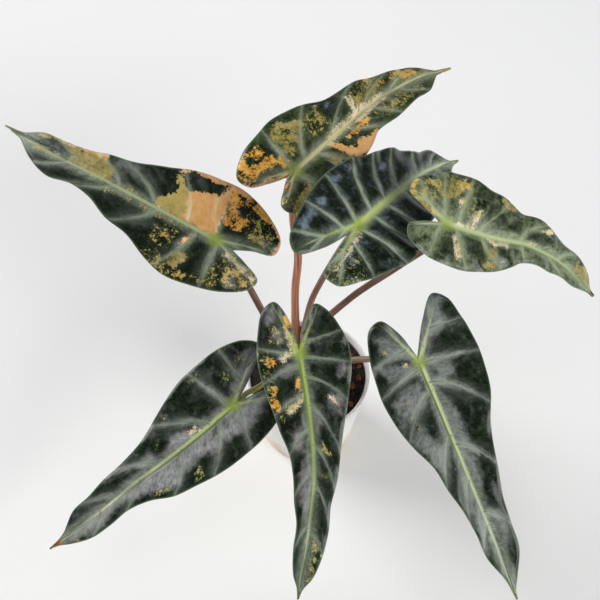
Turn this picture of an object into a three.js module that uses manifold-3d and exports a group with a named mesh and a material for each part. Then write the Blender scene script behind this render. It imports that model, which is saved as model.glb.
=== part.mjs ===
// A potted variegated dwarf alocasia: a thin white nursery pot of potting mix, a short crown,
// and seven arrowhead leaves, each on its own leaf stalk. Millimetres, +Z up, origin at the
// middle of the pot's underside.
import * as THREE from 'three';
import { mergeVertices } from 'three/addons/utils/BufferGeometryUtils.js';
import Module from 'manifold-3d';

const wasm = await Module();
wasm.setup();

// Pot: injection-moulded, 9 cm across the rim
const POT_HEIGHT = 80;
const RIM_RADIUS = 45;
const WALL_TOP_RADIUS = 42.9;
const BASE_RADIUS = 35;
const WALL = 1;
const BASE_THICKNESS = 1.2;
const FOOT_CHAMFER = 0.8;
const BAND_HEIGHT = 9;
const BAND_STEP = 0.6;
const LIP_HEIGHT = 1.3;
const LIP_ROUNDING = 0.4;
const LIP_WIDTH = 1.6;
const BEVEL_WIDTH = 1.1;
const BEVEL_DEPTH = 2.4;
const POT_SIDES = 48;
const DRAIN_HOLES = 8;
const DRAIN_RADIUS = 3;
const DRAIN_CIRCLE = 25;
const DRAIN_SIDES = 12;

// Potting mix, and the clearance kept between pieces that touch
const GAP = 0.3;
const SOIL_LEVEL = 77.6;
const SOIL_EDGE_DROP = 0.8;
const SOIL_BUMP = 0.7;
const SOIL_RINGS = 5;
const SOIL_SIDES = 40;

// Crown: the short stem that all the leaf stalks spring from
const CROWN_X = -7;
const CROWN_Y = 13;
const CROWN_RADIUS = 5.4;
const CROWN_HEIGHT = 13;
const CROWN_SIDES = 16;
const CROWN_FLAT = 15;
const CROWN_BLEND = 8;
const STALK_RING = 9;

// Leaves and leaf stalks
const BLADE_THICKNESS = 1;
const FOLD = Math.tan(THREE.MathUtils.degToRad(12));
const FOLD_REACH = 34;
const LOBE_DROOP = 0.0035;
const VEIN_SWEEP = 0.28;
const EDGE_STEPS = 4;
const BLADE_STEPS = 13;
const ACROSS_STEPS = 4;
const DRIP_TIP = 0.4;
const LOBE_POINTS = 2;
const SHOULDER_POINTS = 5;
const TIP_POINTS = 11;
const STALK_SIDES = 8;
const STALK_STEPS = 14;
const STALK_RISE = 4;
const STALK_NECK = 6;

// Each leaf: its midrib from the stalk to the tip, its roll about the midrib in degrees, the
// depth of the notch between its lobes, and for each side the lobe's outline as places along
// and out from the midrib (inner edge, end, outer edge twice), then half-widths at every tenth
// of the length. Each stalk: its radius, its bearing on the crown and the points it passes
// through.
const LEAVES = {
  left: {
    midrib: [[-59, 24, 216], [-93, 40, 230], [-129, 59, 238], [-165, 80, 237], [-200, 104.5, 231.5]],
    roll: -25,
    notch: 13,
    left: {
      lobe: [[-23.7, 2.8], [-36.5, 8.3], [-34.3, 16.4], [-20, 26.6]],
      widths: [33.5, 36.5, 33, 26.5, 24, 17.5, 15, 17, 12, 3],
    },
    right: {
      lobe: [[-23.7, 5.7], [-37, 11], [-36.1, 20.6], [-22, 30.2]],
      widths: [36, 34, 30, 22.5, 16, 12.5, 9, 8, 7.5, 1.5],
    },
    stalk: { radius: 2.4, bearing: 184, through: [[-22, 18, 98], [-32, 19, 137], [-48, 25, 186]] },
  },
  back: {
    midrib: [[-9, 60, 240], [18, 89, 241], [43, 120, 236], [71, 148, 227], [101, 171, 215]],
    roll: 15,
    notch: 7,
    left: {
      lobe: [[-18.2, 4.5], [-29, 11.3], [-30.7, 20.5], [-17, 30.3]],
      widths: [33.5, 35.3, 31.5, 23.5, 20.5, 18.5, 14.5, 12, 8, 1.5],
    },
    right: {
      lobe: [[-15.1, 4.7], [-23.9, 11.5], [-22.9, 18.9], [-13, 24.5]],
      widths: [28, 27, 25, 22, 17, 18, 16.5, 14, 12, 2],
    },
    stalk: {
      radius: 2.8,
      bearing: 105,
      through: [[-9, 26, 97], [-9, 36, 136], [-7, 45, 166], [-10, 52, 198]],
    },
  },
  centre: {
    midrib: [[30, 10, 252], [50, 39, 238], [68, 67, 221], [86, 93, 201], [106, 116, 180]],
    roll: 20,
    notch: 13,
    left: {
      lobe: [[-32.9, 3.3], [-49.5, 11.5], [-46.5, 20.5], [-24, 30.4]],
      widths: [36, 37.5, 37, 34.5, 30, 28, 22, 15, 14, 3],
    },
    right: {
      lobe: [[-30.9, 3.3], [-46.8, 8.5], [-44, 19.5], [-24, 28.5]],
      widths: [35, 37, 33, 29, 27, 25, 22, 17, 11, 3.5],
    },
    stalk: { radius: 2.2, bearing: 60, through: [[-3, 22, 98], [2, 30, 130], [9, 32, 155], [18, 30, 188]] },
  },
  right: {
    midrib: [[83, 17, 243], [114, 17, 227], [144, 23, 207], [170, 23, 183], [193, 19, 155]],
    roll: 20,
    notch: 5,
    left: {
      lobe: [[-16.9, 6.5], [-27.3, 14], [-24.5, 22.3], [-12, 29]],
      widths: [33.5, 34, 31, 28.5, 20, 20, 15.5, 13, 12.5, 8],
    },
    right: {
      lobe: [[-16, 2.4], [-25, 6.5], [-24.6, 14.8], [-13, 22.3]],
      widths: [26, 26, 23.5, 18.5, 12.5, 11, 11, 8.5, 8.5, 4],
    },
    stalk: {
      radius: 2.4,
      bearing: 12,
      through: [[7, 22, 106], [29, 27, 140], [58, 23, 186], [77, 18, 222]],
    },
  },
  front_left: {
    midrib: [[-49, -56, 143], [-80, -78, 130], [-113, -97, 114], [-143, -114, 94], [-174, -129, 72]],
    roll: -20,
    notch: 4,
    left: {
      lobe: [[-25, 6.9], [-32, 13], [-27.2, 20.6], [-16, 26.2]],
      widths: [29.5, 30, 29, 26, 23, 16, 12, 12, 11, 5.5],
    },
    right: {
      lobe: [[-24, 9.3], [-38, 19.5], [-32, 28.5], [-17, 34.6]],
      widths: [35.5, 35, 30.5, 25, 18, 15, 14, 12, 11, 3],
    },
    stalk: { radius: 2, bearing: -125, through: [[-18, -2, 89], [-35, -28, 112], [-42, -39, 125]] },
  },
  front: {
    midrib: [[-6, -38, 181], [0, -73, 164], [3, -106, 144], [-1, -139, 123], [-7, -171, 100]],
    roll: 0,
    notch: 3,
    left: {
      lobe: [[-18, 6], [-29.2, 14.3], [-24, 21.5], [-13, 27.5]],
      widths: [31.5, 30.5, 26, 21.5, 17.5, 15, 12, 12.5, 11, 7],
    },
    right: {
      lobe: [[-24.4, 4.5], [-34.3, 11.1], [-30, 19], [-15, 24.5]],
      widths: [27, 26, 23, 19.5, 15, 13, 11.5, 8, 8, 5.5],
    },
    stalk: { radius: 2.3, bearing: -78, through: [[-6, -4, 100], [-6, -24, 150]] },
  },
  front_right: {
    midrib: [[73, -28, 150], [89, -65, 137], [105, -100, 120], [121, -133, 99], [136, -164, 75]],
    roll: 10,
    notch: 4,
    left: {
      lobe: [[-25, 12.8], [-39.9, 26.5], [-33.4, 34.8], [-18, 37.8]],
      widths: [40, 39, 36, 28, 23, 19, 15.5, 14, 13, 6],
    },
    right: {
      lobe: [[-23.6, 5.4], [-35.2, 13], [-32, 22.7], [-15, 29.5]],
      widths: [32, 33, 31, 26, 19, 16, 12, 10, 9, 3],
    },
    stalk: { radius: 2.2, bearing: -32, through: [[11, 2, 90], [36, -8, 116], [55, -17, 132]] },
  },
};

// Papery sheath left of the back stalk, wrapped round the next leaf's tip
const SHEATH = {
  radius: 2.1,
  tipRadius: 0.4,
  sides: 10,
  steps: 6,
  bearing: 146,
  lean: [-14.6, 20.5, 96],
  tip: [-15.5, 25, 113],
};

// Loose lumps on the mix: where each lies, its length, width and height, and its turn in degrees
const BARK_CHIPS = [
  { at: [31, -10], size: [6, 3.2, 2.2], turn: 20 },
  { at: [37, -3], size: [4.4, 3, 1.8], turn: 75 },
  { at: [30, -24], size: [5.2, 3.4, 2], turn: -35 },
  { at: [32, 15], size: [5, 2.6, 1.8], turn: 50 },
  { at: [22, 27], size: [5.6, 3, 2], turn: -10 },
  { at: [-32.5, 2], size: [5.4, 3, 2.2], turn: 65 },
  { at: [-29, -20], size: [6, 3.4, 2], turn: 10 },
  { at: [2, -30], size: [6.4, 3.6, 2.2], turn: -50 },
  { at: [-26, 25], size: [5, 3.2, 2], turn: 30 },
];
const PERLITE = [
  { at: [-33.5, -8.5], size: [3.4, 3, 2.6], turn: 0 },
  { at: [14, -22], size: [3, 2.6, 2.2], turn: 40 },
  { at: [27, 4], size: [2.8, 2.6, 2], turn: 15 },
];

const MATERIALS = {
  pot: { color: 0xecebe8, roughness: 0.45 },
  soil: { color: 0x2a1a14, roughness: 0.95 },
  crown: { color: 0x8a5a48, roughness: 0.6 },
  stalk: { color: 0x8c5845, roughness: 0.5 },
  sheath: { color: 0xc98f78, roughness: 0.6 },
  blade: { color: 0x2b3a2e, roughness: 0.42 },
  bark: { color: 0x6e3420, roughness: 0.9 },
  perlite: { color: 0xd9cfc4, roughness: 0.95 },
};

const vector = ([x, y, z]) => new THREE.Vector3(x, y, z);
const smoothCurve = (points) => new THREE.CatmullRomCurve3(points, false, 'centripetal');

function mesh(name, geometry, material) {
  const piece = new THREE.Mesh(geometry, new THREE.MeshStandardMaterial({ metalness: 0, ...material }));
  piece.name = name;
  return piece;
}

// A geometry with only its places left and its shared corners merged
function welded(geometry) {
  geometry.deleteAttribute('normal');
  geometry.deleteAttribute('uv');
  return mergeVertices(geometry, 1e-3);
}

function solidOf(geometry) {
  const closed = welded(geometry);
  return new wasm.Manifold(new wasm.Mesh({
    numProp: 3,
    vertProperties: closed.attributes.position.array,
    triVerts: Uint32Array.from(closed.index.array),
  }));
}

function geometryOf(solid) {
  const result = solid.getMesh();
  const geometry = new THREE.BufferGeometry();
  geometry.setAttribute('position', new THREE.BufferAttribute(result.vertProperties, 3));
  geometry.setIndex(new THREE.BufferAttribute(result.triVerts, 1));
  return geometry;
}

// A turned solid from (radius, height) points, standing along +Z
function turned(points, sides) {
  const profile = points.map(([radius, height]) => new THREE.Vector2(radius, height));
  return new THREE.LatheGeometry(profile, sides).rotateX(Math.PI / 2);
}

// The inner wall's radius at a height: the wall tapers evenly from base to band
function innerRadius(height) {
  const taper = (WALL_TOP_RADIUS - BASE_RADIUS) / (POT_HEIGHT - BAND_HEIGHT);
  return BASE_RADIUS + taper * height - WALL;
}

// Pot: tapered wall, stacking step, upright band and a rolled lip with a bevel inside it,
// with a ring of drain holes through the flat base
function pot() {
  const bandFoot = POT_HEIGHT - BAND_HEIGHT;
  const bandTop = POT_HEIGHT - LIP_HEIGHT - LIP_ROUNDING;
  const profile = [
    [0, 0],
    [BASE_RADIUS - FOOT_CHAMFER, 0],
    [BASE_RADIUS, FOOT_CHAMFER],
    [WALL_TOP_RADIUS, bandFoot],
    [RIM_RADIUS - BAND_STEP - LIP_ROUNDING, bandFoot + BAND_STEP],
    [RIM_RADIUS - BAND_STEP, bandTop],
    [RIM_RADIUS, POT_HEIGHT - LIP_HEIGHT],
    [RIM_RADIUS, POT_HEIGHT - LIP_ROUNDING],
    [RIM_RADIUS - LIP_ROUNDING, POT_HEIGHT],
    [RIM_RADIUS - LIP_WIDTH, POT_HEIGHT],
    [RIM_RADIUS - LIP_WIDTH - BEVEL_WIDTH, POT_HEIGHT - BEVEL_DEPTH],
    [innerRadius(bandFoot), bandFoot - WALL],
    [innerRadius(BASE_THICKNESS), BASE_THICKNESS],
    [0, BASE_THICKNESS],
  ];
  let solid = solidOf(turned(profile, POT_SIDES));
  for (let hole = 0; hole < DRAIN_HOLES; hole += 1) {
    const bearing = (2 * Math.PI * (hole + 0.5)) / DRAIN_HOLES;
    const depth = 4 * BASE_THICKNESS;
    const drill = new THREE.CylinderGeometry(DRAIN_RADIUS, DRAIN_RADIUS, depth, DRAIN_SIDES);
    drill.rotateX(Math.PI / 2);
    drill.translate(DRAIN_CIRCLE * Math.cos(bearing), DRAIN_CIRCLE * Math.sin(bearing), 0);
    solid = solid.subtract(solidOf(drill));
  }
  return mesh('pot', geometryOf(solid), MATERIALS.pot);
}

// Height of the mix: level round the crown, gently uneven elsewhere
function soilHeight(x, y) {
  const away = Math.hypot(x - CROWN_X, y - CROWN_Y);
  const rough = THREE.MathUtils.smoothstep(away, CROWN_FLAT, CROWN_FLAT + CROWN_BLEND);
  const waves = Math.sin(0.31 * x + 1) * Math.cos(0.27 * y) + 0.5 * Math.sin(0.5 * (x + y));
  return SOIL_LEVEL + SOIL_BUMP * rough * waves;
}

// The mix fills the pot just clear of its wall, and its top falls a little at the rim
function soil() {
  const foot = BASE_THICKNESS + GAP;
  const bandFoot = POT_HEIGHT - BAND_HEIGHT;
  const shoulder = innerRadius(bandFoot) - GAP;
  const profile = [
    [0, foot],
    [innerRadius(foot) - GAP, foot],
    [shoulder, bandFoot],
    [shoulder, SOIL_LEVEL - SOIL_EDGE_DROP],
  ];
  for (let ring = SOIL_RINGS; ring >= 0; ring -= 1) {
    profile.push([(shoulder * ring) / (SOIL_RINGS + 1), SOIL_LEVEL]);
  }
  const geometry = welded(turned(profile, SOIL_SIDES));
  const place = geometry.attributes.position;
  for (let i = 0; i < place.count; i += 1) {
    if (place.getZ(i) > SOIL_LEVEL - SOIL_EDGE_DROP / 2) {
      place.setZ(i, soilHeight(place.getX(i), place.getY(i)));
    }
  }
  return mesh('soil', geometry, MATERIALS.soil);
}

// Crown: a stub that narrows to a blunt top
function crown() {
  const foot = SOIL_LEVEL + GAP;
  const profile = [
    [0, foot],
    [CROWN_RADIUS, foot],
    [CROWN_RADIUS, foot + 0.45 * CROWN_HEIGHT],
    [0.85 * CROWN_RADIUS, foot + 0.75 * CROWN_HEIGHT],
    [0.5 * CROWN_RADIUS, foot + 0.95 * CROWN_HEIGHT],
    [0, foot + CROWN_HEIGHT],
  ];
  const piece = mesh('crown', turned(profile, CROWN_SIDES), MATERIALS.crown);
  piece.position.set(CROWN_X, CROWN_Y, 0);
  return piece;
}

// Where a stalk or sheath of a given radius stands against the crown
function crownSeat(bearing) {
  const angle = THREE.MathUtils.degToRad(bearing);
  const x = CROWN_X + STALK_RING * Math.cos(angle);
  const y = CROWN_Y + STALK_RING * Math.sin(angle);
  return new THREE.Vector3(x, y, SOIL_LEVEL + 2 * GAP);
}

// A leaf's own directions: along and across its midrib, and out of its upper face
class BladeFrame {
  constructor(leaf) {
    this.curve = smoothCurve(leaf.midrib.map(vector));
    this.curve.arcLengthDivisions = 400;
    this.length = this.curve.getLength();
    const start = vector(leaf.midrib[0]);
    const heading = vector(leaf.midrib.at(-1)).sub(start).setZ(0).normalize();
    this.sideways = new THREE.Vector3(-heading.y, heading.x, 0);
    this.roll = THREE.MathUtils.degToRad(leaf.roll);
  }

  at(distance) {
    const fraction = THREE.MathUtils.clamp(distance / this.length, 0, 1);
    const point = this.curve.getPointAt(fraction);
    const along = this.curve.getTangentAt(fraction);
    if (distance < 0) {
      point.addScaledVector(along, distance);
    }
    const level = this.sideways.clone().addScaledVector(along, -this.sideways.dot(along)).normalize();
    const upright = new THREE.Vector3().crossVectors(along, level);
    const across = level.multiplyScalar(Math.cos(this.roll)).addScaledVector(upright, Math.sin(this.roll));
    const outward = new THREE.Vector3().crossVectors(along, across);
    return { point, along, across, outward };
  }

  // Both halves rise from the midrib and arch back down; the lobes droop
  place(distance, offset) {
    const { point, across, outward } = this.at(distance);
    const reach = Math.abs(offset);
    let lift = FOLD * reach * (1 - reach / FOLD_REACH);
    if (distance < 0) {
      lift -= LOBE_DROOP * distance * distance;
    }
    return point.addScaledVector(across, offset).addScaledVector(outward, lift);
  }
}

// One half's outline as a curve from the notch, round the lobe and along the blade to the tip
function halfOutline(half, notch, length) {
  const points = [
    [-notch, 0],
    ...half.lobe,
    ...half.widths.map((width, i) => [(length * i) / 10, width]),
    [0.95 * length, 0.3 * half.widths.at(-1) + 0.3],
    [length, DRIP_TIP],
  ];
  const curve = smoothCurve(points.map(([s, t]) => new THREE.Vector3(s, t, 0)));
  const last = points.length - 1;
  return (index) => curve.getPoint(index / last);
}

// Rows of points from the leaf's veins out to its edge: the lobe's rows start on its own
// vein, the blade's at shares of the midrib that both halves use, and they sweep forward
function halfRows(half, notch, length) {
  const outline = halfOutline(half, notch, length);
  const [along, out] = half.lobe[1];
  const lobeVein = new THREE.Vector3(0.8 * along, 0.95 * out, 0);
  const rows = [];
  for (let step = 0; step <= EDGE_STEPS; step += 1) {
    const part = step / EDGE_STEPS;
    rows.push({ foot: lobeVein.clone().multiplyScalar(part), edge: outline(LOBE_POINTS * part) });
  }
  for (let step = 1; step <= EDGE_STEPS; step += 1) {
    const part = step / EDGE_STEPS;
    const edge = outline(THREE.MathUtils.lerp(LOBE_POINTS, SHOULDER_POINTS, part));
    rows.push({ foot: lobeVein.clone().multiplyScalar(1 - part), edge });
  }
  for (let step = 1; step <= BLADE_STEPS; step += 1) {
    const part = step / BLADE_STEPS;
    const edge = outline(SHOULDER_POINTS + TIP_POINTS * part);
    const foot = new THREE.Vector3(length * part * (1 - VEIN_SWEEP * (1 - part)), 0, 0);
    rows.push({ foot, edge });
  }
  return rows;
}

// The blade as one open sheet through the middle of its thickness, upper face outward
function bladeSheet(leaf, frame) {
  const places = [];
  for (const [half, side] of [[leaf.left, 1], [leaf.right, -1]]) {
    const rows = halfRows(half, leaf.notch, frame.length).map(({ foot, edge }) => {
      const row = [];
      for (let step = 0; step <= ACROSS_STEPS; step += 1) {
        const point = foot.clone().lerp(edge, step / ACROSS_STEPS);
        row.push(frame.place(point.x, side * point.y));
      }
      return row;
    });
    for (let i = 0; i + 1 < rows.length; i += 1) {
      for (let k = 0; k < ACROSS_STEPS; k += 1) {
        const quad = [rows[i][k], rows[i + 1][k], rows[i + 1][k + 1], rows[i][k + 1]];
        const turn = side > 0 ? [0, 1, 2, 0, 2, 3] : [0, 2, 1, 0, 3, 2];
        places.push(...turn.map((corner) => quad[corner]));
      }
    }
  }
  const geometry = new THREE.BufferGeometry().setFromPoints(places);
  return mergeVertices(geometry, 1e-3);
}

// A sheet given an even thickness, half to each side, with its open edge walled
function thickened(sheet, thickness) {
  sheet.computeVertexNormals();
  const place = sheet.attributes.position;
  const normal = sheet.attributes.normal;
  const count = place.count;
  const points = [];
  for (const side of [0.5, -0.5]) {
    for (let i = 0; i < count; i += 1) {
      const point = new THREE.Vector3().fromBufferAttribute(place, i);
      const out = new THREE.Vector3().fromBufferAttribute(normal, i);
      points.push(point.addScaledVector(out, side * thickness));
    }
  }
  const faces = [];
  const edges = new Map();
  const index = sheet.index.array;
  for (let i = 0; i < index.length; i += 3) {
    const [a, b, c] = [index[i], index[i + 1], index[i + 2]];
    if (a === b || b === c || c === a) {
      continue;
    }
    faces.push(a, b, c, a + count, c + count, b + count);
    for (const [from, to] of [[a, b], [b, c], [c, a]]) {
      if (!edges.delete(`${to} ${from}`)) {
        edges.set(`${from} ${to}`, [from, to]);
      }
    }
  }
  for (const [from, to] of edges.values()) {
    faces.push(from, from + count, to + count, from, to + count, to);
  }
  const geometry = new THREE.BufferGeometry().setFromPoints(points);
  geometry.setIndex(faces);
  return geometry;
}

// A round bar along a smooth curve
function bar(points, radius) {
  const corners = [];
  for (let side = 0; side < STALK_SIDES; side += 1) {
    const angle = (2 * Math.PI * side) / STALK_SIDES;
    corners.push(new THREE.Vector2(radius * Math.cos(angle), radius * Math.sin(angle)));
  }
  return new THREE.ExtrudeGeometry(new THREE.Shape(corners), {
    steps: STALK_STEPS,
    bevelEnabled: false,
    extrudePath: smoothCurve(points),
  });
}

function leafAndStalk(name, leaf) {
  const frame = new BladeFrame(leaf);
  const blade = mesh(`leaf_${name}`, thickened(bladeSheet(leaf, frame), BLADE_THICKNESS), MATERIALS.blade);
  const { radius, bearing, through } = leaf.stalk;
  const { point, outward } = frame.at(0);
  const clear = BLADE_THICKNESS / 2 + GAP;
  const seat = crownSeat(bearing);
  const route = [
    seat,
    seat.clone().setZ(seat.z + STALK_RISE),
    ...through.map(vector),
    point.clone().addScaledVector(outward, -STALK_NECK),
    point.clone().addScaledVector(outward, -clear),
  ];
  const stalk = mesh(`stalk_${name}`, bar(route, radius), MATERIALS.stalk);
  return [blade, stalk];
}

// Sheath: a slim cone with a leaning tip
function sheath() {
  const foot = crownSeat(SHEATH.bearing);
  const curve = smoothCurve([foot, vector(SHEATH.lean), vector(SHEATH.tip)]);
  const { tipRadius, radius, sides, steps } = SHEATH;
  const geometry = new THREE.CylinderGeometry(tipRadius, radius, 1, sides, steps);
  geometry.rotateX(Math.PI / 2);
  geometry.translate(0, 0, 0.5);
  const place = geometry.attributes.position;
  for (let i = 0; i < place.count; i += 1) {
    const centre = curve.getPoint(THREE.MathUtils.clamp(place.getZ(i), 0, 1));
    place.setXYZ(i, centre.x + place.getX(i), centre.y + place.getY(i), centre.z);
  }
  return mesh('new_leaf_sheath', geometry, MATERIALS.sheath);
}

// A lump let down until its lowest facets are just clear of the mix
function lump(name, { at: [x, y], size, turn }, geometry, material) {
  geometry.scale(...size.map((extent) => extent / 2));
  geometry.rotateZ(THREE.MathUtils.degToRad(turn));
  let rest = 0;
  const place = geometry.attributes.position;
  for (let i = 0; i < place.count; i += 1) {
    const ground = soilHeight(x + place.getX(i), y + place.getY(i));
    rest = Math.max(rest, ground - place.getZ(i));
  }
  const piece = mesh(name, geometry, material);
  piece.position.set(x, y, rest + 1.2 * GAP);
  return piece;
}

const plant = new THREE.Group();
plant.add(pot(), soil(), crown(), sheath());
for (const [name, leaf] of Object.entries(LEAVES)) {
  plant.add(...leafAndStalk(name, leaf));
}
BARK_CHIPS.forEach((chip, i) => {
  plant.add(lump(`bark_chip_${i + 1}`, chip, new THREE.DodecahedronGeometry(1.15), MATERIALS.bark));
});
PERLITE.forEach((grain, i) => {
  plant.add(lump(`perlite_${i + 1}`, grain, new THREE.IcosahedronGeometry(1.1), MATERIALS.perlite));
});

export default plant;
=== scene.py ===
# A potted variegated dwarf alocasia. Seven arrowhead leaves on slender stalks fan out of a short
# crown in a white nursery pot. Metres, +Z up, origin under the middle of the pot.
import math
import random
from functools import partial

import bpy
import numpy as np
from mathutils import Matrix, Vector, noise


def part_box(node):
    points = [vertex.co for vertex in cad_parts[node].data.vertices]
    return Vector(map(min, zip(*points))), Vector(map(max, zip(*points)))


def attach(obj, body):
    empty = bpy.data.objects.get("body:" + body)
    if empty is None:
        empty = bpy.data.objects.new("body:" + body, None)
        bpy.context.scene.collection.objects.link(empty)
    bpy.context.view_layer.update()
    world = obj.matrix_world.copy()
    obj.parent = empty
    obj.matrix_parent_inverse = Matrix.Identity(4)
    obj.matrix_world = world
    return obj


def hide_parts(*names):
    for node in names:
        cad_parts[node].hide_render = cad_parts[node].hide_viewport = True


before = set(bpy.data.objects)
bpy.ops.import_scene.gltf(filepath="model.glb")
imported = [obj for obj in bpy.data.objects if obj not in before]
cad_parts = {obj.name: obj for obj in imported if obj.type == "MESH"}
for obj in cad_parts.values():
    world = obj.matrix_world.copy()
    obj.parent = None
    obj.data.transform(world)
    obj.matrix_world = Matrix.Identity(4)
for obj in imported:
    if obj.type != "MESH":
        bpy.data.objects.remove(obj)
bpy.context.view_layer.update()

# Camera: a short telephoto from the front, looking steeply down on the plant.
CAMERA_PLACE = (-0.00566, -0.3646, 0.7793)
CAMERA_TILT = math.radians(31.4)
CAMERA_LENS = 65.04

bpy.ops.object.select_all(action="DESELECT")
bpy.ops.object.camera_add(location=CAMERA_PLACE, rotation=(CAMERA_TILT, 0, 0))
camera = bpy.context.object
camera.name = "camera"
camera.data.lens = CAMERA_LENS
bpy.context.scene.camera = camera


# Studio: a pale seamless paper floor, two strong soft boxes at the back left and front right,
# faint ones overhead and at the front left, and a cool window pane at the back. Colours are
# shown as they are.
FLOOR_SIZE = 6.0
SURROUND_COLOUR = "#f2f2f0"
SURROUND_STRENGTH = 0.17


def linear(hex_colour):
    """An sRGB hex colour as the linear colour the shader takes."""
    channels = [int(hex_colour[i : i + 2], 16) / 255 for i in (1, 3, 5)]
    return (*(c / 12.92 if c <= 0.04045 else ((c + 0.055) / 1.055) ** 2.4 for c in channels), 1.0)


def add_node(tree, kind, *inputs, out=0, stops=(), **settings):
    """Adds a shader node and returns one of its outputs. Its inputs, in order or by name, take a
    value, a hex colour or an output. Keywords in small letters are its settings."""
    node = tree.nodes.new("ShaderNode" + kind)
    for name, value in settings.items():
        if name.islower():
            setattr(node, name, value)
    sockets = [socket for socket in node.inputs if socket.enabled]
    by_name = {socket.name.replace(" ", "_"): socket for socket in sockets}
    given = [(by_name[name], value) for name, value in settings.items() if not name.islower()]
    for socket, value in [*zip(sockets, inputs), *given]:
        if isinstance(value, bpy.types.NodeSocket):
            tree.links.new(value, socket)
        else:
            socket.default_value = linear(value) if isinstance(value, str) else value
    for place, colour in stops[2:]:
        node.color_ramp.elements.new(place)
    for element, (place, colour) in zip(node.color_ramp.elements if stops else (), stops):
        element.position = place
        element.color = linear(colour)
    if isinstance(out, str):
        return node.outputs[out]
    return [socket for socket in node.outputs if socket.enabled][out] if node.outputs else None


def new_material(name):
    """An empty material and the call that adds a node to it."""
    material = bpy.data.materials.new(name)
    material.use_nodes = True
    material.node_tree.nodes.clear()
    return material, partial(add_node, material.node_tree)


bpy.context.scene.view_settings.view_transform = "Standard"
world = bpy.data.worlds.new("surround")
world.use_nodes = True
world.node_tree.nodes.clear()
surround = add_node(world.node_tree, "Background", SURROUND_COLOUR, SURROUND_STRENGTH)
add_node(world.node_tree, "OutputWorld", surround)
bpy.context.scene.world = world

# Matt paper: a fine tooth and a very slight unevenness of tone.
paper, node = new_material("matt_backdrop_paper")
place = node("TexCoord", out="Object")
tone = node("TexNoise", Vector=place, Scale=3.0, Detail=3.0)
shade = node("ValToRGB", tone, stops=[(0.3, "#efefef"), (0.7, "#f2f2f2")])
tooth = node("TexNoise", Vector=place, Scale=900.0, Detail=2.0)
bump = node("Bump", Height=tooth, Distance=0.0001, Strength=0.3)
node("OutputMaterial", node("BsdfPrincipled", Base_Color=shade, Roughness=0.9, Normal=bump))

bpy.ops.mesh.primitive_plane_add(size=FLOOR_SIZE, location=(0, 0, 0))
floor = bpy.context.object
floor.name = "backdrop_floor"
floor.data.materials.append(paper)

# name, bearing and height above the floor in degrees, metres away, size across, watts, colour
LIGHTS = [
    ("softbox_left", 150, 26, 3.4, 2.2, 116.0, "#fffefd"),
    ("softbox_right", 322, 26, 3.4, 2.2, 101.0, "#fffefb"),
    ("softbox_overhead", 228, 75, 1.9, 0.7, 1.8, "#fdfcff"),
    ("softbox_front_left", 205, 30, 2.6, 0.9, 5.0, "#fefeff"),
    ("window_pane", 60, 42, 2.2, 0.3, 3.5, "#cfe0ff"),
]
LIGHTS_AIM = (0, 0, 0.12)
for name, bearing, height, away, size, watts, colour in LIGHTS:
    swing, climb = math.radians(bearing), math.radians(height)
    level = math.cos(climb)
    direction = Vector((level * math.cos(swing), level * math.sin(swing), math.sin(climb)))
    place = Vector(LIGHTS_AIM) + away * direction
    bpy.ops.object.light_add(type="AREA", location=place)
    light = bpy.context.object
    light.name = name
    light.rotation_euler = (-direction).to_track_quat("-Z", "Y").to_euler()
    light.data.size = size
    light.data.energy = watts
    light.data.color = linear(colour)[:3]


# Pot: a thin tapered nursery pot moulded in white polypropylene, 9 cm across its rolled lip,
# with a stacking step under the upright band and a ring of drain holes through the base.

# Radius and height in mm, from the underside out, up, over the lip and down inside
POT_PROFILE = [
    (34.2, 0), (34.7, 0.2), (35.0, 0.8), (36.1, 10), (40.3, 48), (42.5, 67.5), (42.9, 71),
    (43.9, 71.5), (44.1, 72.2), (44.4, 78.2), (44.9, 78.7), (45.0, 79.2), (44.9, 79.7), (44.5, 80),
    (43.8, 80), (43.4, 79.8), (42.5, 77.9), (42.0, 76.5), (41.7, 70), (36.5, 24), (34.2, 2.4),
    (33.2, 1.2), (26.0, 1.2),
]
POT_SIDES = 144
MM = 0.001
HOLE_COUNT = 8
HOLE_RADIUS = 3.0
HOLE_CIRCLE = 25.0
HOLE_SIDES = 32
DRILL_LENGTH = 10.0


def select_only(obj):
    """Selects one piece alone and makes it the active one."""
    bpy.ops.object.select_all(action="DESELECT")
    obj.select_set(True)
    bpy.context.view_layer.objects.active = obj


def edit(obj):
    """Puts one piece, alone and wholly selected, in edit mode."""
    select_only(obj)
    bpy.ops.object.mode_set(mode="EDIT")
    bpy.ops.mesh.select_all(action="SELECT")


def apply_modifier(obj, kind, **settings):
    """Adds a modifier to a piece and applies it."""
    select_only(obj)
    modifier = obj.modifiers.new(kind.lower(), kind)
    for name, value in settings.items():
        setattr(modifier, name, value)
    bpy.ops.object.modifier_apply(modifier=modifier.name)


def finish_piece(obj, name, slot, *nodes, smooth_to):
    """Puts a finished piece's place in its mesh, names it, smooths its edges up to an angle in
    degrees, hangs it under the root body and hides the nodes it stands for. Its slot, what it is
    made of, is not used."""
    obj.data.transform(obj.matrix_basis)
    obj.matrix_basis = Matrix.Identity(4)
    obj.name = obj.data.name = name
    select_only(obj)
    bpy.ops.object.shade_smooth_by_angle(angle=math.radians(smooth_to))
    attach(obj, "root")
    if nodes:
        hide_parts(*nodes)


bpy.ops.object.select_all(action="DESELECT")
foot_radius = POT_PROFILE[0][0] * MM
bpy.ops.mesh.primitive_circle_add(vertices=POT_SIDES, radius=foot_radius, fill_type="NGON")
pot = bpy.context.object
edit(pot)
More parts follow.
